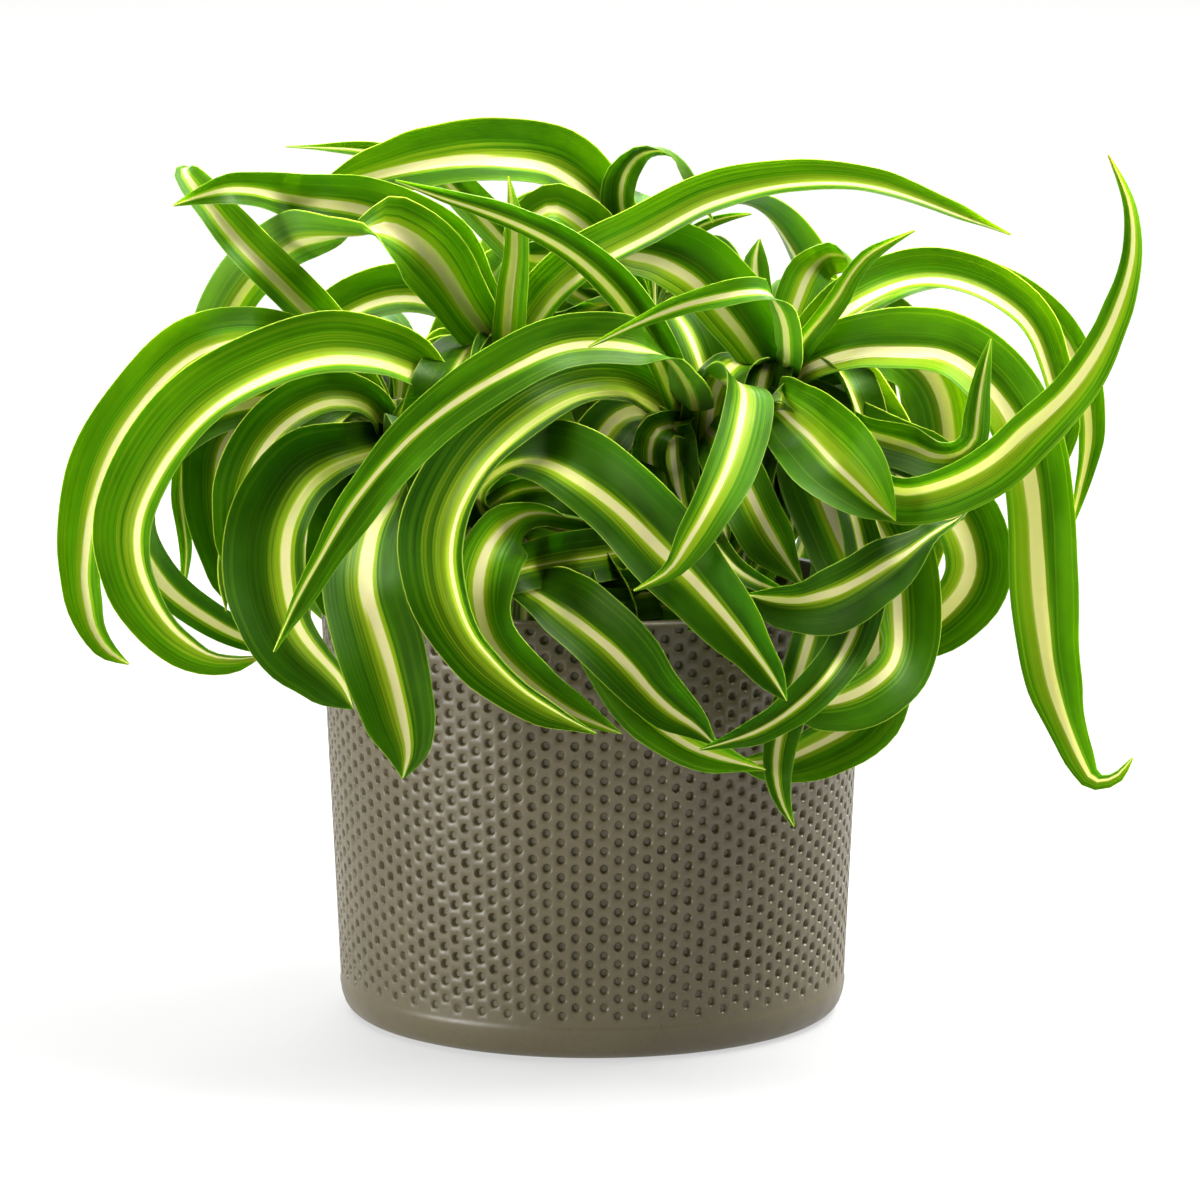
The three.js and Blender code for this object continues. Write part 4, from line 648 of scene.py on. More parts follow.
def bendClear(layers):
    sheets, total = leafSheets(layers)
    columns = list(zip(*findContacts(sheets)))
    a, b = (np.array(column, dtype=int) for column in columns[:2])
    lead, sign, goal, part = (np.array(column, dtype=float) for column in columns[2:])
    near, far = np.where(sign > 0, a, b), np.where(sign > 0, b, a)
    free = [sheet for sheet in sheets if not sheet["fixed"]]
    shift = np.zeros(total)
    for turn in range(bendRule["rounds"]):
        rise, fall = np.zeros(total), np.zeros(total)
        lack = np.maximum(goal - sign * (lead + shift[a] - shift[b]), 0) * part
        np.maximum.at(rise, near, lack)
        np.maximum.at(fall, far, lack)
        for sheet in free:
            clearPot(sheet, shift, rise, fall)
            rows = slice(sheet["first"], sheet["first"] + len(sheet["grid"]))
            change = (rise[rows] - fall[rows]) * bendRule["pace"]
            for smoothing in range(2):
                padded = np.concatenate((change[:1], change, change[-1:]))
                change = 0.25 * padded[:-2] + 0.5 * change + 0.25 * padded[2:]
            blade = sheet["blade"]
            hold = [(s["along"] - blade["fanLength"]) / bendRule["nearFan"] for s in blade["stations"]]
            shift[rows] += change * np.clip(hold, 0, 1)
    for sheet in free:
        for i, station in enumerate(sheet["blade"]["stations"]):
            across, up, depth = toFront(station["place"])
            station["place"] = fromFront(across, up, depth + shift[sheet["first"] + i])
        setFrames(sheet["blade"])


bendClear(("front", "rear"))

# Leaves set in after the rest: the broad one before the right-hand sweep, one in the shade at the left, and
# the dark ones low in the heart, behind the two that hang over the rim.
lateLeaves = [
    ["rightSpoon", "rightCrown", 20, [
        [42, 149, 18, 0, 10], [46.5, 145.5, 33, 0, 16], [52, 140.5, 47, 0, 20], [59, 133.5, 57, 0, 22],
        [65.5, 127, 60, 0, 18], [69.5, 122.5, 62, 0, 10], [73, 119, 62, 0, 0]]],
    ["leftShade", "outerLeftCrown", 20, [
        [-52, 132, 16, 0, 11], [-58, 124, 22, 0, 15], [-61, 113, 25, 0, 17], [-60, 101, 26, 0, 15],
        [-56, 93, 26, 0, 0]]],
    ["heartHigh", "middleCrown", 20, [
        [16, 121, 30, -20, 9], [5, 120, 40, -20, 11], [-5, 123, 42, -15, 12], [-15, 124, 40, -10, 12],
        [-24, 120, 37, 0, 10], [-30, 113, 34, 0, 6], [-33, 106, 32, 0, 0]]],
    ["heartMiddle", "middleCrown", 16, [
        [24, 121, 36, -10, 9], [14, 114, 44, -10, 12], [3, 111, 48, -5, 13], [-8, 109.5, 49, 0, 13],
        [-18, 107, 47, 0, 11], [-27, 103, 43, 0, 7], [-33, 101, 40, 0, 0]]],
    ["heartLow", "rightCrown", 16, [
        [38, 116, 34, 0, 9], [29, 106, 42, 0, 12], [17, 102, 46, 0, 13], [5, 101, 48, 0, 12],
        [-7, 102, 46, 0, 8], [-14, 102, 44, 0, 0]]],
    ["heartRim", "rightCrown", 18, [
        [42, 110, 38, 0, 8], [33, 100, 46, 0, 10], [22, 97.5, 50, 0, 11], [9, 97.5, 51, 0, 10],
        [-3, 99.5, 49, 0, 7], [-10, 101, 47, 0, 0]]],
]
# Short leaves of the middle fill the heart of the plant, all round under the fan of each crown.
innerLeaves = {
    "shape": [(5, 5), (13, 8), (22, 2), (29, -10), (33, -25), (34, -40)], "widths": [6, 12, 16, 16, 13, 0],
    "seed": 5, "clear": 3, "bearings": {
        "leftCrown": (20, 75, 130, 185, 235, 285, 330), "middleCrown": (0, 60, 150, 200, 245, 300),
        "rightCrown": (10, 70, 160, 215, 265, 320), "rearCrown": (10, 60, 120, 170, 220, 310),
        "outerLeftCrown": (50, 110, 170, 225, 280, 335), "lowCrown": (190, 340)},
}


def growInner():
    draw = random.Random(innerLeaves["seed"])
    lowest = soilSizes["middleHeight"] + innerLeaves["clear"]
    for crown, bearings in innerLeaves["bearings"].items():
        fan = fromFront(*crowns[crown]["fan"])
        for bearing in bearings:
            aim = math.radians(bearing + draw.uniform(-14, 14))
            reach, drop = draw.uniform(0.85, 1.2), draw.uniform(0.8, 1.15)
            swing = draw.uniform(-0.1, 0.1)
            points = []
            for i, (out, rise) in enumerate(innerLeaves["shape"]):
                angle = aim + i * swing
                points.append(np.array((fan[0] + math.cos(angle) * out * reach,
                                        fan[1] + math.sin(angle) * out * reach,
                                        max(fan[2] + rise * drop, lowest))))
            sideways = np.array((math.sin(aim), -math.cos(aim), 0))
            makeBlade(crown + "Inner" + str(bearing), crown, leafSizes["innerFold"], points,
                      [draw.uniform(-8, 8)] * len(points), innerLeaves["widths"], sideways, "inner")


for leaf in lateLeaves:
    makeFront(*leaf, "inner")
growInner()
bendClear(("inner",))
print("leaf paths set:", len(blades))

# Leaf blades: each station gives the tree its middle, its two directions and its sizes.
leafLook = {
    "cream": "#c7c18c", "creamBase": "#98a042", "whitest": "#ece4a6", "paleGreen": "#a4b034",
    "limeGreen": "#839e16", "midGreen": "#4a8404", "deepGreen": "#2e5901", "edgeLine": "#7f9a30",
    "streak": "#6d8f16", "vein": "#1f4602", "under": "#5b7d2e", "youngBase": "#a8b36c", "dryTip": "#70522c",
    # shade is the painted-shade tone that the greens of shaded leaves are multiplied by
    "shade": "#97a082",
    "seed": 11, "wave": 0.06, "waveSlant": 1.9, "tipSpan": 22, "youngShare": 0.35, "innerCream": 0.55,
    "edgeStrength": 0.45, "underStrength": 0.4,
}
# 0 on the ramp is well inside the cream, 0.2 its edge, 0.6 the outer end of the lime.
stripeStops = [(0.0, "cream"), (0.185, "cream"), (0.215, "paleGreen"), (0.27, "limeGreen"),
               (0.4, "limeGreen"), (0.6, "midGreen"), (0.85, "deepGreen"), (1.0, "deepGreen")]
# Streaks over the green: how many lie across a leaf, their stretch and detail, from, to and how strong.
greenStreaks = {"streak": (11.0, 0.003, 1.0, 0.56, 0.7, 0.36), "vein": (40.0, 0.012, 1.0, 0.45, 0.65, 0.3),
                "midGreen": (1.2, 0.05, 2.0, 0.4, 0.7, 0.5)}
# Stripes of the main leaves: where the cream runs at half length and near the tip (-1 to 1 across), its half
# width, and how far the lime beside it spreads toward each edge. The rest are drawn between the limits below.
leafStripes = {
    "topArch": (-0.3, 0.12, 0.17, 0.3, 0.1), "leftReach": (-0.3, 0.05, 0.18, 0.2, 0.15),
    "leftDroop": (0.05, 0.3, 0.18, 0.3, 0.3), "leftFold": (-0.05, -0.05, 0.2, 0.25, 0.25),
    "outerLeft": (-0.4, -0.1, 0.2, 0.4, 0.2), "bigLeft": (-0.45, -0.3, 0.19, 0.55, 0.15),
    "diagonal": (-0.2, 0.5, 0.12, 0.15, 0.1), "bigHook": (-0.5, -0.35, 0.11, 0.8, 0.25),
    "leftBack": (-0.55, -0.55, 0.14, 0.45, 0.2), "broadHang": (-0.08, -0.05, 0.16, 0.4, 0.15),
    "innerHook": (0.15, 0.3, 0.15, 0.3, 0.3), "lowDiagonal": (0.2, 0.1, 0.13, 0.35, 0.12),
    "highDiagonal": (0.25, -0.08, 0.13, 0.22, 0.14), "foldOver": (0.12, 0.15, 0.14, 0.3, 0.5),
    "rightSweep": (-0.35, 0.05, 0.22, 0.5, 0.15), "rightFall": (0.3, -0.05, 0.22, 0.5, 0.15),
    "rightArch": (0.5, 0.45, 0.27, 0.3, 0.45), "farRight": (0.2, 0.2, 0.25, 0.25, 0.25),
    "topRight": (0.5, 0.45, 0.16, 0.12, 0.6), "topCross": (-0.5, -0.5, 0.17, 0.2, 0.15),
    "spike": (-0.1, -0.2, 0.25, 0.3, 0.3), "crossingTip": (-0.1, -0.1, 0.22, 0.15, 0.15),
    "twistBlade": (-0.1, 0.3, 0.12, 0.2, 0.25), "rightLoop": (0.35, 0.3, 0.22, 0.4, 0.3),
    "leftInner": (-0.45, -0.3, 0.2, 0.5, 0.25), "darkUpper": (-0.3, -0.2, 0.16, 0.3, 0.2),
    "leftLoop": (0.1, 0.1, 0.27, 0.2, 0.2), "underRight": (0.25, 0.2, 0.18, 0.35, 0.2),
    "lowRing": (0.25, 0.2, 0.17, 0.3, 0.2), "lowSweep": (0, 0, 0.13, 0.15, 0.2),
    "rightSpoon": (0.05, 0.1, 0.15, 0.12, 0.4), "darkRight": (-0.35, -0.35, 0.15, 0.15, 0.35),
    "leftShade": (-0.2, -0.2, 0.08, 0.2, 0.2), "heartHigh": (0.5, 0.5, 0.08, 0.3, 0.3),
    "heartMiddle": (-0.1, 0, 0.05, 0.3, 0.3),
    "heartLow": (0, 0, 0.03, 0.3, 0.3), "heartRim": (0.2, 0.2, 0.02, 0.2, 0.2),
}
# Painted shade: how much the green of a leaf is darkened for shade, from 0 in the light to 1 deep in the
# heart.
paintedLeafShades = {
    "coreMiddle bigHook coreBack shortThin": 1,
    "lowDiagonal innerCurl highDiagonal heartMiddle lowSweep leftLoop leftBack twistBlade": 0.9,
    "hangTip leftInner heartHigh broadHang rearTip": 0.75,
    "leftShade darkCurl heartLow rightSpike": 0.6,
    "foldOver thinHang hangMiddle coreRight coreLow darkRight topCurl": 0.45,
    "rightMiddle topCross farReach darkUpper": 0.45,
    "topArch leftDroop spike greyCurl leftReach diagonal bigLeft rightSpoon rightLoop smallTip backBand": 0.3,
    "curlTop topRight rightSweep sheath coreLeft heartRim lowRing innerHook": 0.2,
    "crossingTip outerLeft rightBackArc thinTip rightFall underRight leftFold": 0,
    "rightArch farRight underLeft hangRight": 0,
}
# inner leaves get deep painted shade, far-side leaves a little, and other leaves 0.3 unless listed above
paintedLayerShades = {"inner": 0.8, "rear": 0.3}
# The cream is nearly white on some leaves, mostly at the right.
whiteLeaves = {"rightFall": 0.85, "rightLoop": 0.8, "farRight": 0.6, "underRight": 0.5, "lowRing": 0.4,
               "rightArch": 0.35, "rightSweep": 0.35, "rightBackArc": 0.3}
paintedShadeOf = {name: shade for names, shade in paintedLeafShades.items() for name in names.split()}
stripeLimits = ((-0.3, 0.3), (-0.2, 0.2), (0.13, 0.2), (0.12, 0.42), (0.12, 0.42))
waveRates = (0.09, 0.16)  # how fast the margins wave, between these limits
dryTips = {"rightSweep": 1, "bigLeft": 1}
# The leaf bases round a stem: how each is folded, leans, lies over the next, and narrows.
sheathRule = {"fold": -38, "stations": 9, "lean": 0.05, "layer": 0.1, "close": 0.72, "width": (1.9, 0.06)}
halfAcross = [  # points of the section from the rib to the margin
    0.12, 0.25, 0.4, 0.56, 0.72, 0.86, 0.96, 1]


def profileObject():
    # the cross-section as a closed loop: over the upper face and back under the blade
    upper = [-v for v in halfAcross[::-1]] + [0] + halfAcross
    across = upper + upper[::-1]
    level = [1] * len(upper) + [-1] * len(upper)
    count = len(across)
    mesh = meshFrom("bladeSection", [(a * 5 * mm, b * mm, 0) for a, b in zip(across, level)],
                    [(i, (i + 1) % count) for i in range(count)], [])
    storeOnPoints(mesh, "across", across)
    storeOnPoints(mesh, "level", level)
    return newObject("bladeSection", mesh)


def leafTree(material):
    # the lines of stations become fine even curves, and the section is swept along them and shaped
    tree, given = newTree("leafBlades", {"Section": "Object", "Step": "Float", "Rib Thickness": "Float",
                                         "Edge Thickness": "Float", "Channel Depth": "Float"})
    node = partial(addNode, tree)
    centred = node("GeometryNodeStoreNamedAttribute", {"data_type": "FLOAT_VECTOR", "domain": "POINT"}, {
        "Geometry": given["Geometry"], "Name": "centre", "Value": node("GeometryNodeInputPosition")})
    lines = node("GeometryNodeMeshToCurve", None, (centred,))
    smooth = node("GeometryNodeCurveSplineType", {"spline_type": "CATMULL_ROM"}, (lines,))
    fine = node("GeometryNodeSetSplineResolution", None, {0: smooth, "Resolution": 6})
    even = node("GeometryNodeResampleCurve", {"mode": "LENGTH"}, {"Curve": fine, "Length": given["Step"]})
    section = node("GeometryNodeObjectInfo", None, {"Object": given["Section"]})
    loop = node("GeometryNodeMeshToCurve", None, (section.outputs["Geometry"],))
    tube = node("GeometryNodeCurveToMesh", None, {"Curve": even, "Profile Curve": loop, "Fill Caps": True})
    at = {"edge": given["Edge Thickness"], "rib": given["Rib Thickness"], "depth": given["Channel Depth"]}
    for kind, names in (("FLOAT", "across level along halfWidth foldCosine foldSine waveRate"),
                        ("FLOAT_VECTOR", "centre bladeSide bladeFace")):
        for name in names.split():
            at[name] = node("GeometryNodeInputNamedAttribute", {"data_type": kind}, (name,))
    for name, operation, *parts in (
            ("flatSide", "MULTIPLY", "across", "halfWidth"),
            ("sideways", "MULTIPLY", "flatSide", "foldCosine"),
            ("reach", "ABSOLUTE", "across"),
            ("bowl", "POWER", "reach", 1.35),
            ("bowlReach", "MULTIPLY", "bowl", "halfWidth"),
            ("foldDepth", "MULTIPLY", "foldSine", "depth"),
            ("channel", "MULTIPLY", "bowlReach", "foldDepth"),
            # the margins of a curly leaf are never quite straight
            ("pace", "MULTIPLY", "along", "waveRate"),
            ("slant", "MULTIPLY", "across", leafLook["waveSlant"]),
            ("phase", "ADD", "pace", "slant"),
            ("wave", "SINE", "phase"),
            ("outer", "POWER", "reach", 3),
            ("outerWave", "MULTIPLY", "wave", "outer"),
            ("waveHeight", "MULTIPLY", "halfWidth", leafLook["wave"]),
            ("ripple", "MULTIPLY", "outerWave", "waveHeight"),
            # thickest at the rib, thinner toward the margins and the tip
            ("ribRise", "SUBTRACT", "rib", "edge"),
            ("inner", "SUBTRACT", 1, "reach"),
            ("nearRib", "POWER", "inner", 3),
            ("ribShare", "MULTIPLY", "ribRise", "nearRib"),
            ("thick", "ADD", "edge", "ribShare"),
            ("tipShare", "DIVIDE", "halfWidth", 3 * mm),
            ("tipLevel", "ADD", 0.25, "tipShare"),
            ("taper", "MINIMUM", 1, "tipLevel"),
            ("halfLevel", "MULTIPLY", "level", 0.5),
            ("fullLift", "MULTIPLY", "halfLevel", "thick"),
            ("lift", "MULTIPLY", "fullLift", "taper"),
            ("curved", "ADD", "channel", "ripple"),
            ("upward", "ADD", "curved", "lift")):
        at[name] = node("ShaderNodeMath", operation, tuple(at.get(part, part) for part in parts))
    offset = node("ShaderNodeVectorMath", "ADD", (
        node("ShaderNodeVectorMath", "SCALE", {0: at["bladeSide"], "Scale": at["sideways"]}),
        node("ShaderNodeVectorMath", "SCALE", {0: at["bladeFace"], "Scale": at["upward"]})))
    place = node("ShaderNodeVectorMath", "ADD", (at["centre"], offset))
    shaped = node("GeometryNodeSetPosition", None, {"Geometry": tube, "Position": place})
    return endTree(tree, [shaped.outputs[0]], material)


def leafMaterial():
    # Living leaf, smooth and waxy: striped lengthwise, its veins fine streaks under a soft long sheen.
    material, tree, shader = newMaterial("variegatedLeaf", {
        "IOR": 1.42, "Specular IOR Level": 0.11, "Specular Tint": (0.7, 1.0, 0.3, 1.0),
        "Subsurface Weight": 0.85, "Subsurface Radius": (0.8, 1.0, 0.3), "Subsurface Scale": 1.5 * mm})
    node = partial(addNode, tree)
    at = {}
    for name in ("across along level share leafSeed stripeCentre creamHalf limePlus limeMinus shade whiteness"
                 " sheathed dryTip fromTip").split():
        at[name] = node("ShaderNodeAttribute", {"attribute_name": name}).outputs["Fac"]

    def streaks(fineness, stretch, detail):
        # noise drawn out along the leaf; fineness is how many streaks lie across it
        vector = node("ShaderNodeCombineXYZ", None, tuple(
            node("ShaderNodeMath", "MULTIPLY", (at[name], amount))
            for name, amount in (("across", fineness), ("along", stretch), ("leafSeed", 40.0))))
        return node("ShaderNodeTexNoise", None, {"Vector": vector, "Scale": 1.0, "Detail": detail})

    for name, *pattern in (("drifting", 0.0, 0.03, 1.0), ("swelling", 0.0, 0.02, 2.0),
                           ("fringe", 15.0, 0.005, 2.0), ("crumpled", 6.0, 0.3, 2.0),
                           ("ridges", 34.0, 0.01, 1.0)):
        at[name] = streaks(*pattern)
    for name, operation, *parts in (
            # where a point lies: below 0 in the cream, from 0 to 1 in the lime, above it in the green
            ("drift", "RANGE", "drifting", 0.0, 1.0, -0.1, 0.1),
            ("fromStripe", "SUBTRACT", "across", "stripeCentre"),
            ("shifted", "ADD", "fromStripe", "drift"),
            ("swell", "RANGE", "swelling", 0.35, 0.65, 0.68, 1.05),
            ("creamEdge", "MULTIPLY", "creamHalf", "swell"),
            ("plusSide", "GREATER_THAN", "shifted", 0.0),
            ("limeStep", "SUBTRACT", "limePlus", "limeMinus"),
            ("limeWidth", "MULTIPLY_ADD", "limeStep", "plusSide", "limeMinus"),
            ("fromMiddle", "ABSOLUTE", "shifted"),
            ("pastCream", "SUBTRACT", "fromMiddle", "creamEdge"),
            ("outside", "DIVIDE", "pastCream", "limeWidth"),
            ("ragged", "RANGE", "fringe", 0.36, 0.64, -0.45, 0.45),
            ("atLeast", "MAXIMUM", 0.16, "outside"),
            ("inBand", "MINIMUM", 1.0, "atLeast"),
            ("band", "MULTIPLY_ADD", "ragged", "inBand", "outside"),
            ("rampPlace", "RANGE", "band", -0.5, 2.0, 0.0, 1.0),
            ("greenness", "RANGE", "band", 0.0, 0.8, 0.0, 1.0),
            ("inCream", "RANGE", "band", 0.0, -0.05, 0.0, 1.0),
            # the cream is yellower near the base, and reaches further up the more painted shade a leaf has
            ("creamFrom", "MULTIPLY_ADD", "shade", 0.3, 0.05),
            ("creamTo", "ADD", "creamFrom", 0.3),
            ("creamAge", "RANGE", "share", "creamFrom", "creamTo", 0.0, 1.0),
            # painted shade: only the green, not the cream, is darkened by each leaf's painted-shade value
            ("shadeHere", "MULTIPLY", "shade", "greenness"),
            ("reach", "ABSOLUTE", "across"),
            ("edgeHere", "RANGE", "reach", 0.965, 0.99, 0.0, leafLook["edgeStrength"]),
            ("below", "RANGE", "level", 0.1, -0.1, 0.0, leafLook["underStrength"]),
            ("underHere", "MULTIPLY", "below", "greenness"),
            ("dryness", "MULTIPLY", "dryTip", "fromTip"),
            ("crumple", "RANGE", "crumpled", 0.0, 1.0, -0.25, 0.25),
            ("drySum", "ADD", "dryness", "crumple"),
            ("dryHere", "RANGE", "drySum", 0.85, 1.0, 0.0, 1.0)):
        values = tuple(at.get(part, part) for part in parts)
        if operation == "RANGE":
            at[name] = node("ShaderNodeMapRange", None, values)
        else:
            at[name] = node("ShaderNodeMath", operation, values)
    ramp = node("ShaderNodeValToRGB", None, (at["rampPlace"],))
    for place, tone in stripeStops[2:]:
        ramp.color_ramp.elements.new(place)
    for element, (place, tone) in zip(ramp.color_ramp.elements, stripeStops):
        element.position = place
        element.color = linearColour(leafLook[tone])
    for name, (fineness, stretch, detail, low, high, strength) in greenStreaks.items():
        at[name] = streaks(fineness, stretch, detail)
        seen = node("ShaderNodeMapRange", None, (at[name], low, high, 0.0, strength))
        at[name + "Here"] = node("ShaderNodeMath", "MULTIPLY", (seen, at["greenness"]))
    cream = linearColour(leafLook["creamBase"])
    for tone, factor in (("cream", "creamAge"), ("whitest", "whiteness")):
        cream = node("ShaderNodeMix", {"data_type": "RGBA"}, {
            0: at[factor], 6: cream, 7: linearColour(leafLook[tone])}).outputs[2]
    colour = node("ShaderNodeMix", {"data_type": "RGBA"}, {0: at["inCream"], 6: ramp, 7: cream}).outputs[2]
    for tone, factor in (("streak", "streakHere"), ("vein", "veinHere"), ("midGreen", "midGreenHere"),
                         ("shade", "shadeHere"), ("edgeLine", "edgeHere"), ("under", "underHere"),
                         ("youngBase", "sheathed"), ("dryTip", "dryHere")):
        # the painted shade multiplies the colour down; the other coats are mixed over it
        blend = "MULTIPLY" if tone == "shade" else "MIX"
        colour = node("ShaderNodeMix", {"data_type": "RGBA", "blend_type": blend}, {
            0: at[factor], 6: colour, 7: linearColour(leafLook[tone])}).outputs[2]
    gloss = node("ShaderNodeMapRange", None, (at["vein"], 0.3, 0.7, 0.34, 0.46))
    bump = node("ShaderNodeBump", None, {"Strength": 0.35, "Distance": 0.12 * mm, "Height": at["ridges"]})
    tree.links.new(colour, shader.inputs["Base Color"])
    tree.links.new(gloss.outputs[0], shader.inputs["Roughness"])
    tree.links.new(bump.outputs[0], shader.inputs["Normal"])
    return material


def sheathStations(crown):
    # the pale bases of the leaves clasp each other in a loose stem from the mix to the fan
    rings = crownRings(crowns[crown])[1:]
    width, narrowing = sheathRule["width"]
    lines = []
    for sheath in range(crownSizes["sheaths"]):
        stations = []
        for i in range(sheathRule["stations"]):
            x, y, z, radius = stemRing(rings, i / 2)
            angle = sheath * crownSizes["turn"] + i * sheathRule["lean"]
            outward = np.array((math.cos(angle), math.sin(angle), 0))
            level = 1 - sheathRule["layer"] * sheath / crownSizes["sheaths"]
            stations.append({
                "middle": np.array((x, y, z - 5 + 0.6 * i)) + outward * radius * level * sheathRule["close"],
                "across": np.array((-math.sin(angle), math.cos(angle), 0)), "face": outward,
                "width": radius * (width - narrowing * i), "along": 4 * i})
        lines.append({"name": "sheath", "fold": math.radians(sheathRule["fold"]), "stations": stations})
    return lines


def leafPiece(crown, tree, section):
    # all the leaves of one crown, as lines of stations with their values, are baked into one mesh
    points, edges, sides, faces, layers = [], [], [], [], {}
    for blade in [blade for blade in blades if blade["crown"] == crown] + sheathStations(crown):
        name, layer, stations = blade["name"], blade.get("layer"), blade["stations"]
        seed = random.random()
        drawn = [random.uniform(*limits) for limits in stripeLimits]
        centre, tipCentre, cream, limePlus, limeMinus = leafStripes.get(name, drawn)
        length = stations[-1]["along"]
        same = {
            "leafSeed": seed, "waveRate": random.uniform(*waveRates), "foldSine": math.sin(blade["fold"]),
            "foldCosine": math.cos(blade["fold"]), "limePlus": limePlus, "limeMinus": limeMinus,
            "creamHalf": cream * (leafLook["innerCream"] if layer == "inner" else 1),
            "sheathed": leafLook["youngShare"] if name == "sheath" else 0, "dryTip": dryTips.get(name, 0),
            # how much painted shade darkens this leaf's green
            "shade": paintedShadeOf.get(name, paintedLayerShades.get(layer, 0.3)), "whiteness": whiteLeaves.get(name, 0)}
        for i, station in enumerate(stations):
            along = station["along"]
            if i:
                edges.append((len(points) - 1, len(points)))
            points.append(station["middle"] * mm)
            sides.append(station["across"])
            faces.append(station["face"])
            own = {"halfWidth": 0.5 * max(station["width"], 0.5) * mm, "along": along,
                   "share": along / length,
                   "stripeCentre": centre + (tipCentre - centre) * max(0, 2.3 * along / length - 1.15),
                   "fromTip": max(0, 1 - (length - along) / leafLook["tipSpan"])}
            for key, value in {**same, **own}.items():
                layers.setdefault(key, []).append(value)
    mesh = meshFrom(crown, points, edges, [])
    for key, values in layers.items():
        storeOnPoints(mesh, key, values)
    storeOnPoints(mesh, "bladeSide", sides, "FLOAT_VECTOR")
    storeOnPoints(mesh, "bladeFace", faces, "FLOAT_VECTOR")
    piece = newObject(crown + "Leaves", mesh)
    bakeTree(piece, tree, {"Section": section, "Step": leafSizes["step"] * mm,
                           "Rib Thickness": leafSizes["ribThickness"] * mm,
                           "Edge Thickness": leafSizes["edgeThickness"] * mm,
                           "Channel Depth": leafSizes["channelDepth"]})
    return piece


def nodeName(crown):
    return "".join("_" + letter.lower() if letter.isupper() else letter for letter in crown)


def growLeaves():
    section = profileObject()
    tree = leafTree(leafMaterial())
    random.seed(leafLook["seed"])
    pieces = {crown: leafPiece(crown, tree, section) for crown in crowns}
    for crown, piece in pieces.items():
        tidyPiece(piece, 60)
        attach(piece, "root")
        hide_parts(nodeName(crown))
    bpy.data.objects.remove(section)


growLeaves()

potLook = {
    "clay": "#524a30", "grain": 0.35, "gloss": (0.37, 0.46),
    # a tone, the size of its pattern in mm, its detail, from where, to where and how strong
    "tones": [("#5b5238", 38, 3.0, 0.35, 0.65, 0.6), ("#463f2a", 2.6, 2.0, 0.5, 0.75, 0.4),
              ("#383222", 0.7, 1.0, 0.68, 0.74, 0.6)],
}
wallSlope = (potSizes["rimRadius"] - potSizes["baseRadius"]) / potSizes["height"]


def outerAt(height):
    return potSizes["baseRadius"] + wallSlope * height


def turnedPart(profile, sides, firstAngle):
    # a lathe round Z; a point on the axis closes the end
    points, faces, rings = [], [], []
    for radius, height in profile:
        count = sides if radius else 1
        rings.append([len(points) + k % count for k in range(sides)])
        for k in range(count):
            angle = firstAngle + 2 * math.pi * k / sides
            points.append((radius * mm * math.sin(angle), -radius * mm * math.cos(angle), height * mm))
    for low, high in zip(rings, rings[1:]):
        for k in range(sides):
            corners = [low[k], low[(k + 1) % sides], high[(k + 1) % sides], high[k]]
            faces.append(list(dict.fromkeys(corners)))
    return points, faces


def arcPoints(centreR, centreZ, radius, start, end, steps):
    angles = [math.radians(start + (end - start) * i / steps) for i in range(steps + 1)]
    return [(centreR + radius * math.cos(a), centreZ + radius * math.sin(a)) for a in angles]


def ringFaces(outer, inner):
    # triangles between two rings of (angle, index), whatever their counts
    rings = [sorted((angle % (2 * math.pi), index) for angle, index in ring) for ring in (outer, inner)]
    faces, place = [], [0, 0]
    while place[0] < len(outer) or place[1] < len(inner):
        after = [ring[(k + 1) % len(ring)][0] + 2 * math.pi * ((k + 1) // len(ring))
                 for ring, k in zip(rings, place)]
        here, there = (ring[k % len(ring)][1] for ring, k in zip(rings, place))
        step = 0 if place[1] >= len(inner) or (place[0] < len(outer) and after[0] <= after[1]) else 1
        faces.append((here, rings[step][(place[step] + 1) % len(rings[step])][1], there))
        place[step] += 1
    return faces


def dimpleTile():
    # one cell of the wall, flat for now: a round hollow with a soft lip; its rim is split at the places
    # where the corners of the staggered neighbours meet it
    wide = 2 * math.pi / potSizes["columns"] / 2
    tall = potSizes["rowPitch"] * mm / 2
    scale = potSizes["rimRadius"] * mm
    rim = [(-1, -1), (0, -1), (1, -1), (1, -0.5), (1, 0), (1, 0.5), (1, 1), (0, 1), (-1, 1), (-1, 0.5),
           (-1, 0), (-1, -0.5)]
    points = [(x * wide, y * tall, 0) for x, y in rim]
    faces = []
    outer = [(math.atan2(y, x * scale), k) for k, (x, y, z) in enumerate(points)]
    for count, radius, depth in potSizes["dimpleRings"]:
        angles = [2 * math.pi * (k + 0.5) / count - math.pi * 5 / 6 for k in range(count)]
        inner = [(angle, len(points) + k) for k, angle in enumerate(angles)]
        points += [(math.cos(angle) * radius * mm / scale, math.sin(angle) * radius * mm, -depth * mm)
                   for angle in angles]
        faces += ringFaces(outer, inner)
        outer = inner
    faces.insert(0, tuple(index for angle, index in inner))
    return newObject("dimpleTile", meshFrom("dimpleTile", points, [], faces))


def halfTile():
    # where a staggered column ends, half a cell is left plain
    wide = 2 * math.pi / potSizes["columns"] / 2
    tall = potSizes["rowPitch"] * mm / 4
    rim = [(-1, -1), (0, -1), (1, -1), (1, 0), (1, 1), (0, 1), (-1, 1), (-1, 0), (0, 0)]
    points = [(x * wide, y * tall, 0) for x, y in rim]
    return newObject("halfTile", meshFrom("halfTile", points, [], [(k, (k + 1) % 8, 8) for k in range(8)]))


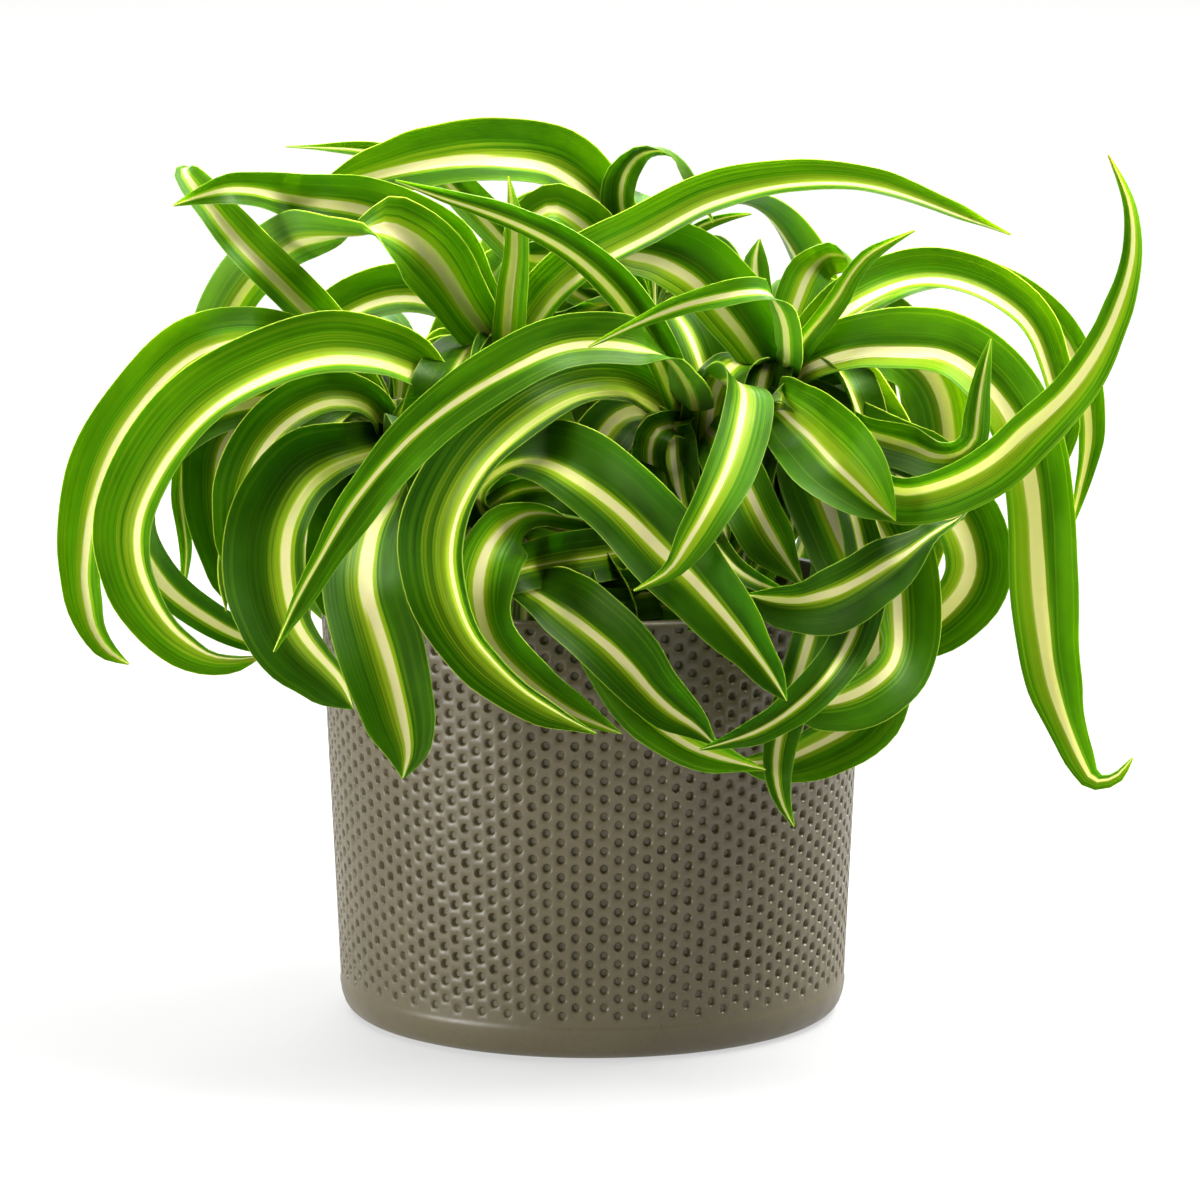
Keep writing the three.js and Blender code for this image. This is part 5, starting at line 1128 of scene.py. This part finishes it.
def dimpleTree(material):
    # X is the angle round the pot in radians, Y the height and Z the depth, until the sheet is wrapped
    tree, given = newTree("dimpledWall", {
        "Tile": "Object", "Half Tile": "Object", "Columns": "Int", "Rows": "Int", "Row Pitch": "Float",
        "Lowest Edge": "Float", "Highest Edge": "Float", "First Angle": "Float", "Base Radius": "Float",
        "Wall Slope": "Float"})
    node = partial(addNode, tree)
    at = {socket.name: socket for socket in given if socket.name}
    at["index"] = node("GeometryNodeInputIndex")
    steps = [
        ("half", "DIVIDE", "Columns", 2),
        ("turn", "DIVIDE", 2 * math.pi, "Columns"),
        ("fewer", "SUBTRACT", "Rows", 1),
        ("lessHalf", "SUBTRACT", "Rows", 0.5),
        ("fade", "MULTIPLY", "Row Pitch", 3),
        ("fadeEnd", "ADD", "Lowest Edge", "fade"),
    ]
    # Tiles of the even columns, of the odd columns, which hold one fewer, and the half tiles at their ends.
    # Each kind says how many fill a column, the first column, and the step and start of its rows.
    kinds = (("Tile", "Rows", 0, 1, 0.5), ("Tile", "fewer", 1, 1, 1), ("Half Tile", 2, 1, "lessHalf", 0.25))
    for k, (tile, rows, firstColumn, rowStep, firstRow) in enumerate(kinds):
        name = str(k)
        steps += [
            ("lane" + name, "DIVIDE", "index", rows),
            ("whole" + name, "FLOOR", "lane" + name),
            ("column" + name, "MULTIPLY_ADD", "whole" + name, 2, firstColumn),
            ("angle" + name, "MULTIPLY", "column" + name, "turn"),
            ("row" + name, "MODULO", "index", rows),
            ("place" + name, "MULTIPLY_ADD", "row" + name, rowStep, firstRow),
            ("rise" + name, "MULTIPLY", "place" + name, "Row Pitch"),
            ("height" + name, "ADD", "Lowest Edge", "rise" + name),
            ("count" + name, "MULTIPLY", "half", rows),
        ]
    for name, operation, *parts in steps:
        at[name] = node("ShaderNodeMath", operation, tuple(at.get(part, part) for part in parts))
    sheets = []
    for k, kind in enumerate(kinds):
        # no two hollows are pressed quite as deep, and the lowest rows fade out
        height, angle, count = (at[name + str(k)] for name in ("height", "angle", "count"))
        fade = node("ShaderNodeMapRange", None, (height, at["Lowest Edge"], at["fadeEnd"], 0.6, 1.0))
        chance = node("FunctionNodeRandomValue", {"data_type": "FLOAT"}, {2: 0.78, 3: 1.15, "Seed": k + 1})
        deep = node("ShaderNodeMath", "MULTIPLY", (fade, chance.outputs[1]))
        spots = node("GeometryNodePoints", None, (count, node("ShaderNodeCombineXYZ", None, (angle, height))))
        shape = node("GeometryNodeObjectInfo", None, {"Object": given[kind[0]]})
        sheets.append(node("GeometryNodeInstanceOnPoints", None, {
            "Points": spots, "Instance": shape.outputs["Geometry"],
            "Scale": node("ShaderNodeCombineXYZ", None, (1.0, 1.0, deep))}))
    joined = node("GeometryNodeJoinGeometry")
    for sheet in sheets:
        tree.links.new(sheet.outputs[0], joined.inputs[0])
    flat = node("GeometryNodeRealizeInstances", None, (joined,))
    apart = node("ShaderNodeSeparateXYZ", None, (node("GeometryNodeInputPosition"),))
    for axis, socket in zip("xyz", apart.outputs):
        at[axis] = socket
    for name, operation, *parts in (
            ("level", "MINIMUM", "y", "Highest Edge"),
            ("angle", "ADD", "x", "First Angle"),
            ("widening", "MULTIPLY", "Wall Slope", "level"),
            ("outer", "ADD", "Base Radius", "widening"),
            ("radius", "ADD", "outer", "z"),
            ("sine", "SINE", "angle"),
            ("across", "MULTIPLY", "radius", "sine"),
            ("cosine", "COSINE", "angle"),
            ("back", "MULTIPLY", "radius", "cosine"),
            ("forward", "MULTIPLY", "back", -1)):
        at[name] = node("ShaderNodeMath", operation, tuple(at.get(part, part) for part in parts))
    wrapped = node("ShaderNodeCombineXYZ", None, (at["across"], at["forward"], at["level"]))
    # the object's own mesh is the turned part of the pot, left open where the dimpled wall goes
    wall = node("GeometryNodeSetPosition", None, {"Geometry": flat, "Position": wrapped})
    return endTree(tree, [wall.outputs[0], given["Geometry"]], material)


def potMaterial():
    # Stoneware with a satin taupe glaze, sprayed thin: an even warm grey-brown with a broad soft sheen.
    material, tree, shader = newMaterial("satinGlazedStoneware", {"IOR": 1.5, "Specular IOR Level": 0.55})
    node = partial(addNode, tree)
    place = node("ShaderNodeTexCoord").outputs["Object"]
    noises = {}
    for size, detail in [tone[1:3] for tone in potLook["tones"]] + [(6, 2.0), (potLook["grain"] * 2.4, 2.0)]:
        noises[size] = node("ShaderNodeTexNoise", None, {
            "Vector": place, "Scale": 1 / (size * mm), "Detail": detail})
    colour = linearColour(potLook["clay"])
    for tone, size, detail, low, high, strength in potLook["tones"]:
        seen = node("ShaderNodeMapRange", None, (noises[size], low, high, 0.0, strength))
        colour = node("ShaderNodeMix", {"data_type": "RGBA"}, {
            0: seen, 6: colour, 7: linearColour(tone)}).outputs[2]
    gloss = node("ShaderNodeMapRange", None, (noises[6], 0.3, 0.7, *potLook["gloss"]))
    grain = node("ShaderNodeBump", None, {
        "Strength": potLook["grain"], "Distance": 0.05 * mm, "Height": noises[potLook["grain"] * 2.4]})
    tree.links.new(colour, shader.inputs["Base Color"])
    tree.links.new(gloss.outputs[0], shader.inputs["Roughness"])
    tree.links.new(grain.outputs[0], shader.inputs["Normal"])
    return material


def buildPot():
    low = potSizes["lowestRow"] - potSizes["rowPitch"] / 2
    high = potSizes["height"] - potSizes["wallTop"]
    corner, wall, step = potSizes["cornerRadius"], potSizes["wall"], potSizes["footStep"]
    band, lip, under = potSizes["footBand"], potSizes["lipRadius"], potSizes["underRise"]
    foot, floor = outerAt(0), potSizes["floor"]
    lower = [(0, under), (foot - 9, under), (foot - 8, 0.8), (foot - 7, 0), (foot - corner, 0)]
    lower += arcPoints(foot - corner, corner, corner, -78, 0, 6)
    lower = [(radius + step if height > corner * 0.9 else radius, height) for radius, height in lower]
    lower += [(outerAt(band - back) + step * share, band - back)
              for back, share in ((1.6, 1), (1.2, 0.9), (0.85, 0.65), (0.55, 0.28), (0.25, 0.04))]
    lower += [(outerAt(low), low)]
    lipHeight = potSizes["height"] - lip
    upper = [(outerAt(high), high)] + arcPoints(outerAt(high) - lip, lipHeight, lip, 10, 90, 6)
    upper += arcPoints(outerAt(potSizes["height"]) - wall + lip, lipHeight, lip, 100, 180, 5)
    upper += [(outerAt(88) - wall, 88), (outerAt(floor) - wall, floor + 2),
              (outerAt(floor) - wall - 2, floor), (0, floor)]
    points, faces = [], []
    for profile in (lower, upper):
        more, moreFaces = turnedPart(profile, potSizes["columns"] * 2,
                                     potSizes["firstAngle"] - math.pi / potSizes["columns"])
        faces += [[i + len(points) for i in face] for face in moreFaces]
        points += more
    piece = newObject("dimpledPot", meshFrom("dimpledPot", points, [], faces))
    tile, plain = dimpleTile(), halfTile()
    bakeTree(piece, dimpleTree(potMaterial()), {
        "Tile": tile, "Half Tile": plain, "Columns": potSizes["columns"], "Rows": potSizes["rows"],
        "Row Pitch": potSizes["rowPitch"] * mm, "Lowest Edge": low * mm, "Highest Edge": high * mm,
        "First Angle": potSizes["firstAngle"], "Base Radius": potSizes["baseRadius"] * mm,
        "Wall Slope": wallSlope})
    for helper in (tile, plain):
        bpy.data.objects.remove(helper)
    tidyPiece(piece, 48)
    return piece


pot = buildPot()
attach(pot, "root")
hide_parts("pot")

mixLook = {
    "peat": "#2b1f15", "crumb": "#4a3524", "bark": "#6b4a2e", "perlite": "#d8d2c4", "lump": 0.9,
    "chipSize": 1.5, "perliteShare": 0.07, "crumbSize": 1.8, "relief": 0.5, "sides": 120, "rings": 26,
}


def mixMaterial():
    # Peat potting mix with bark crumbs and a little perlite: dark, matte and crumbly.
    material, tree, shader = newMaterial("peatPottingMix", {"Roughness": 0.95})
    node = partial(addNode, tree)
    place = node("ShaderNodeTexCoord").outputs["Object"]
    crumbs = node("ShaderNodeTexNoise", None, {
        "Vector": place, "Scale": 1 / (mixLook["crumbSize"] * mm), "Detail": 4.0})
    peat, crumb, bark, perlite = (linearColour(mixLook[key]) for key in ("peat", "crumb", "bark", "perlite"))
    soil = node("ShaderNodeMix", {"data_type": "RGBA"}, {0: crumbs, 6: peat, 7: crumb})
    tone = node("ShaderNodeAttribute", {"attribute_name": "chipTone"}).outputs["Fac"]
    ramp = node("ShaderNodeValToRGB", None, (tone,))
    ramp.color_ramp.interpolation = "CONSTANT"
    ramp.color_ramp.elements[0].color = crumb
    ramp.color_ramp.elements[1].position = 1 - mixLook["perliteShare"]
    ramp.color_ramp.elements[1].color = perlite
    ramp.color_ramp.elements.new(0.5).color = bark
    isChip = node("ShaderNodeMath", "GREATER_THAN", (tone, 0.001))
    colour = node("ShaderNodeMix", {"data_type": "RGBA"}, {0: isChip, 6: soil.outputs[2], 7: ramp})
    darker = node("ShaderNodeMix", {"data_type": "RGBA", "blend_type": "MULTIPLY"}, {
        0: 0.6, 6: colour.outputs[2], 7: crumbs})
    bump = node("ShaderNodeBump", None, {
        "Strength": 0.8, "Distance": mixLook["relief"] * mm, "Height": crumbs})
    tree.links.new(darker.outputs[2], shader.inputs["Base Color"])
    tree.links.new(bump.outputs[0], shader.inputs["Normal"])
    return material


def chipTree(material):
    # crumbs lie where the upward faces of the mix are, each turned and stretched its own way
    tree, given = newTree("pottingChips", {"Count": "Float", "Chip Size": "Float", "Seed": "Int"})
    node = partial(addNode, tree)
    upward = node("ShaderNodeSeparateXYZ", None, (node("GeometryNodeInputNormal"),)).outputs["Z"]
    flat = node("FunctionNodeCompare", "GREATER_THAN", (upward, 0.5))
    spots = node("GeometryNodeDistributePointsOnFaces", None, {
        "Mesh": given["Geometry"], "Selection": flat, "Density": given["Count"], "Seed": given["Seed"]})
    # the random turn and stretch are vectors (inputs 0 and 1), the random tone is a number (inputs 2 and 3)
    turn = node("FunctionNodeRandomValue", {"data_type": "FLOAT_VECTOR"}, {
        0: (0, 0, 0), 1: (6.2, 6.2, 6.2), "Seed": 1})
    stretch = node("FunctionNodeRandomValue", {"data_type": "FLOAT_VECTOR"}, {
        0: (0.35, 0.3, 0.25), 1: (1.5, 1.0, 0.8), "Seed": 2})
    tone = node("FunctionNodeRandomValue", {"data_type": "FLOAT"}, {2: 0.01, 3: 1.0, "Seed": 3}).outputs[1]
    crumb = node("GeometryNodeMeshIcoSphere", None, {"Radius": given["Chip Size"], "Subdivisions": 1})
    turned = node("GeometryNodeInstanceOnPoints", None, {
        "Points": spots, "Instance": crumb, "Rotation": turn, "Scale": stretch})
    toned = node("GeometryNodeStoreNamedAttribute", {"data_type": "FLOAT", "domain": "INSTANCE"}, {
        0: turned, "Name": "chipTone", "Value": tone})
    return endTree(tree, [toned.outputs[0], given["Geometry"]], material)


def buildMix():
    gap, edge, middle = soilSizes["gap"], soilSizes["edgeHeight"], soilSizes["middleHeight"]
    low = potSizes["floor"] + gap
    wide, narrow, widest = (outerAt(z) - potSizes["wall"] - gap for z in (edge - 3, low, edge))
    profile = [(0, low), (narrow, low + 2), (wide, edge - 3)]
    for i in range(mixLook["rings"] + 1):
        share = 1 - i / mixLook["rings"]
        profile.append((widest * share, middle - (middle - edge) * share ** 3))
    points, faces = turnedPart(profile, mixLook["sides"], 0)
    for i, (x, y, z) in enumerate(points):
        if z > (edge - 1) * mm:
            rough = noise.noise((x * 160, y * 160, 3.7)) + 0.5 * noise.noise((x * 520, y * 520, 9.1))
            calm = min(1, (widest * mm - math.hypot(x, y)) / (3 * mm) + 0.2)
            points[i] = (x, y, z + mixLook["lump"] * mm * rough * calm)
    piece = newObject("pottingMixBed", meshFrom("pottingMixBed", points, [], faces))
    storeOnPoints(piece.data, "chipTone", [0.0] * len(points))
    area = math.pi * (widest * mm) ** 2
    bakeTree(piece, chipTree(mixMaterial()), {
        "Count": soilSizes["chips"] / area, "Chip Size": mixLook["chipSize"] * mm, "Seed": soilSizes["seed"]})
    tidyPiece(piece, 50)
    return piece


mix = buildMix()
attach(mix, "root")
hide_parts("potting_mix")

# The stage: a white paper floor that glows a little, an even world, and round soft lights.
studio = {
    "paper": {"Base Color": linearColour("#676766"), "Roughness": 0.9, "Emission Color": (1, 1, 1, 1),
              "Emission Strength": 0.58},
    "paperSize": 30, "worldStrength": 0.28,
    "lights": [  # name, place, what it points at, width in metres and power
        ("keyLight", (-0.8, 0.3, 1.7), (0, 0, 0.1), 1.2, 51),
        ("sideLight", (-1.6, -0.85, 0.25), (0, 0, 0.05), 0.9, 38),
        ("topLight", (0.85, 0.3, 1.6), (0, 0, 0.1), 1.1, 94),
        ("edgeLight", (1.4, -0.1, 1.3), (0, 0, 0.14), 0.9, 13),
        ("backgroundLight", (0, 4.6, 3.2), (0, 4.6, 0), 5.0, 400)],
}


def setStage():
    # White paper: matte, with no highlight and no grain, so that only the soft shadow shows on it.
    edge = studio["paperSize"]
    corners = [(-edge, -edge, 0), (edge, -edge, 0), (edge, edge, 0), (-edge, edge, 0)]
    paper = meshFrom("floor", corners, [], [(0, 1, 2, 3)])
    paper.materials.append(newMaterial("whitePaper", studio["paper"])[0])
    floor = newObject("floor", paper)
    world = bpy.data.worlds.new("studio")
    world.use_nodes = True
    world.node_tree.nodes["Background"].inputs["Color"].default_value = (1, 1, 1, 1)
    world.node_tree.nodes["Background"].inputs["Strength"].default_value = studio["worldStrength"]
    bpy.context.scene.world = world
    for name, place, aim, size, power in studio["lights"]:
        light = bpy.data.lights.new(name, "AREA")
        light.shape = "DISK"
        light.size = size
        light.energy = power
        lamp = newObject(name, light)
        lamp.location = place
        x, y, z = (a - b for a, b in zip(aim, place))
        lamp.rotation_euler = (math.atan2(math.hypot(x, y), -z), 0, math.atan2(y, x) - math.pi / 2)
    bpy.context.scene.view_settings.view_transform = "Standard"


setStage()
print("stage and lights set")
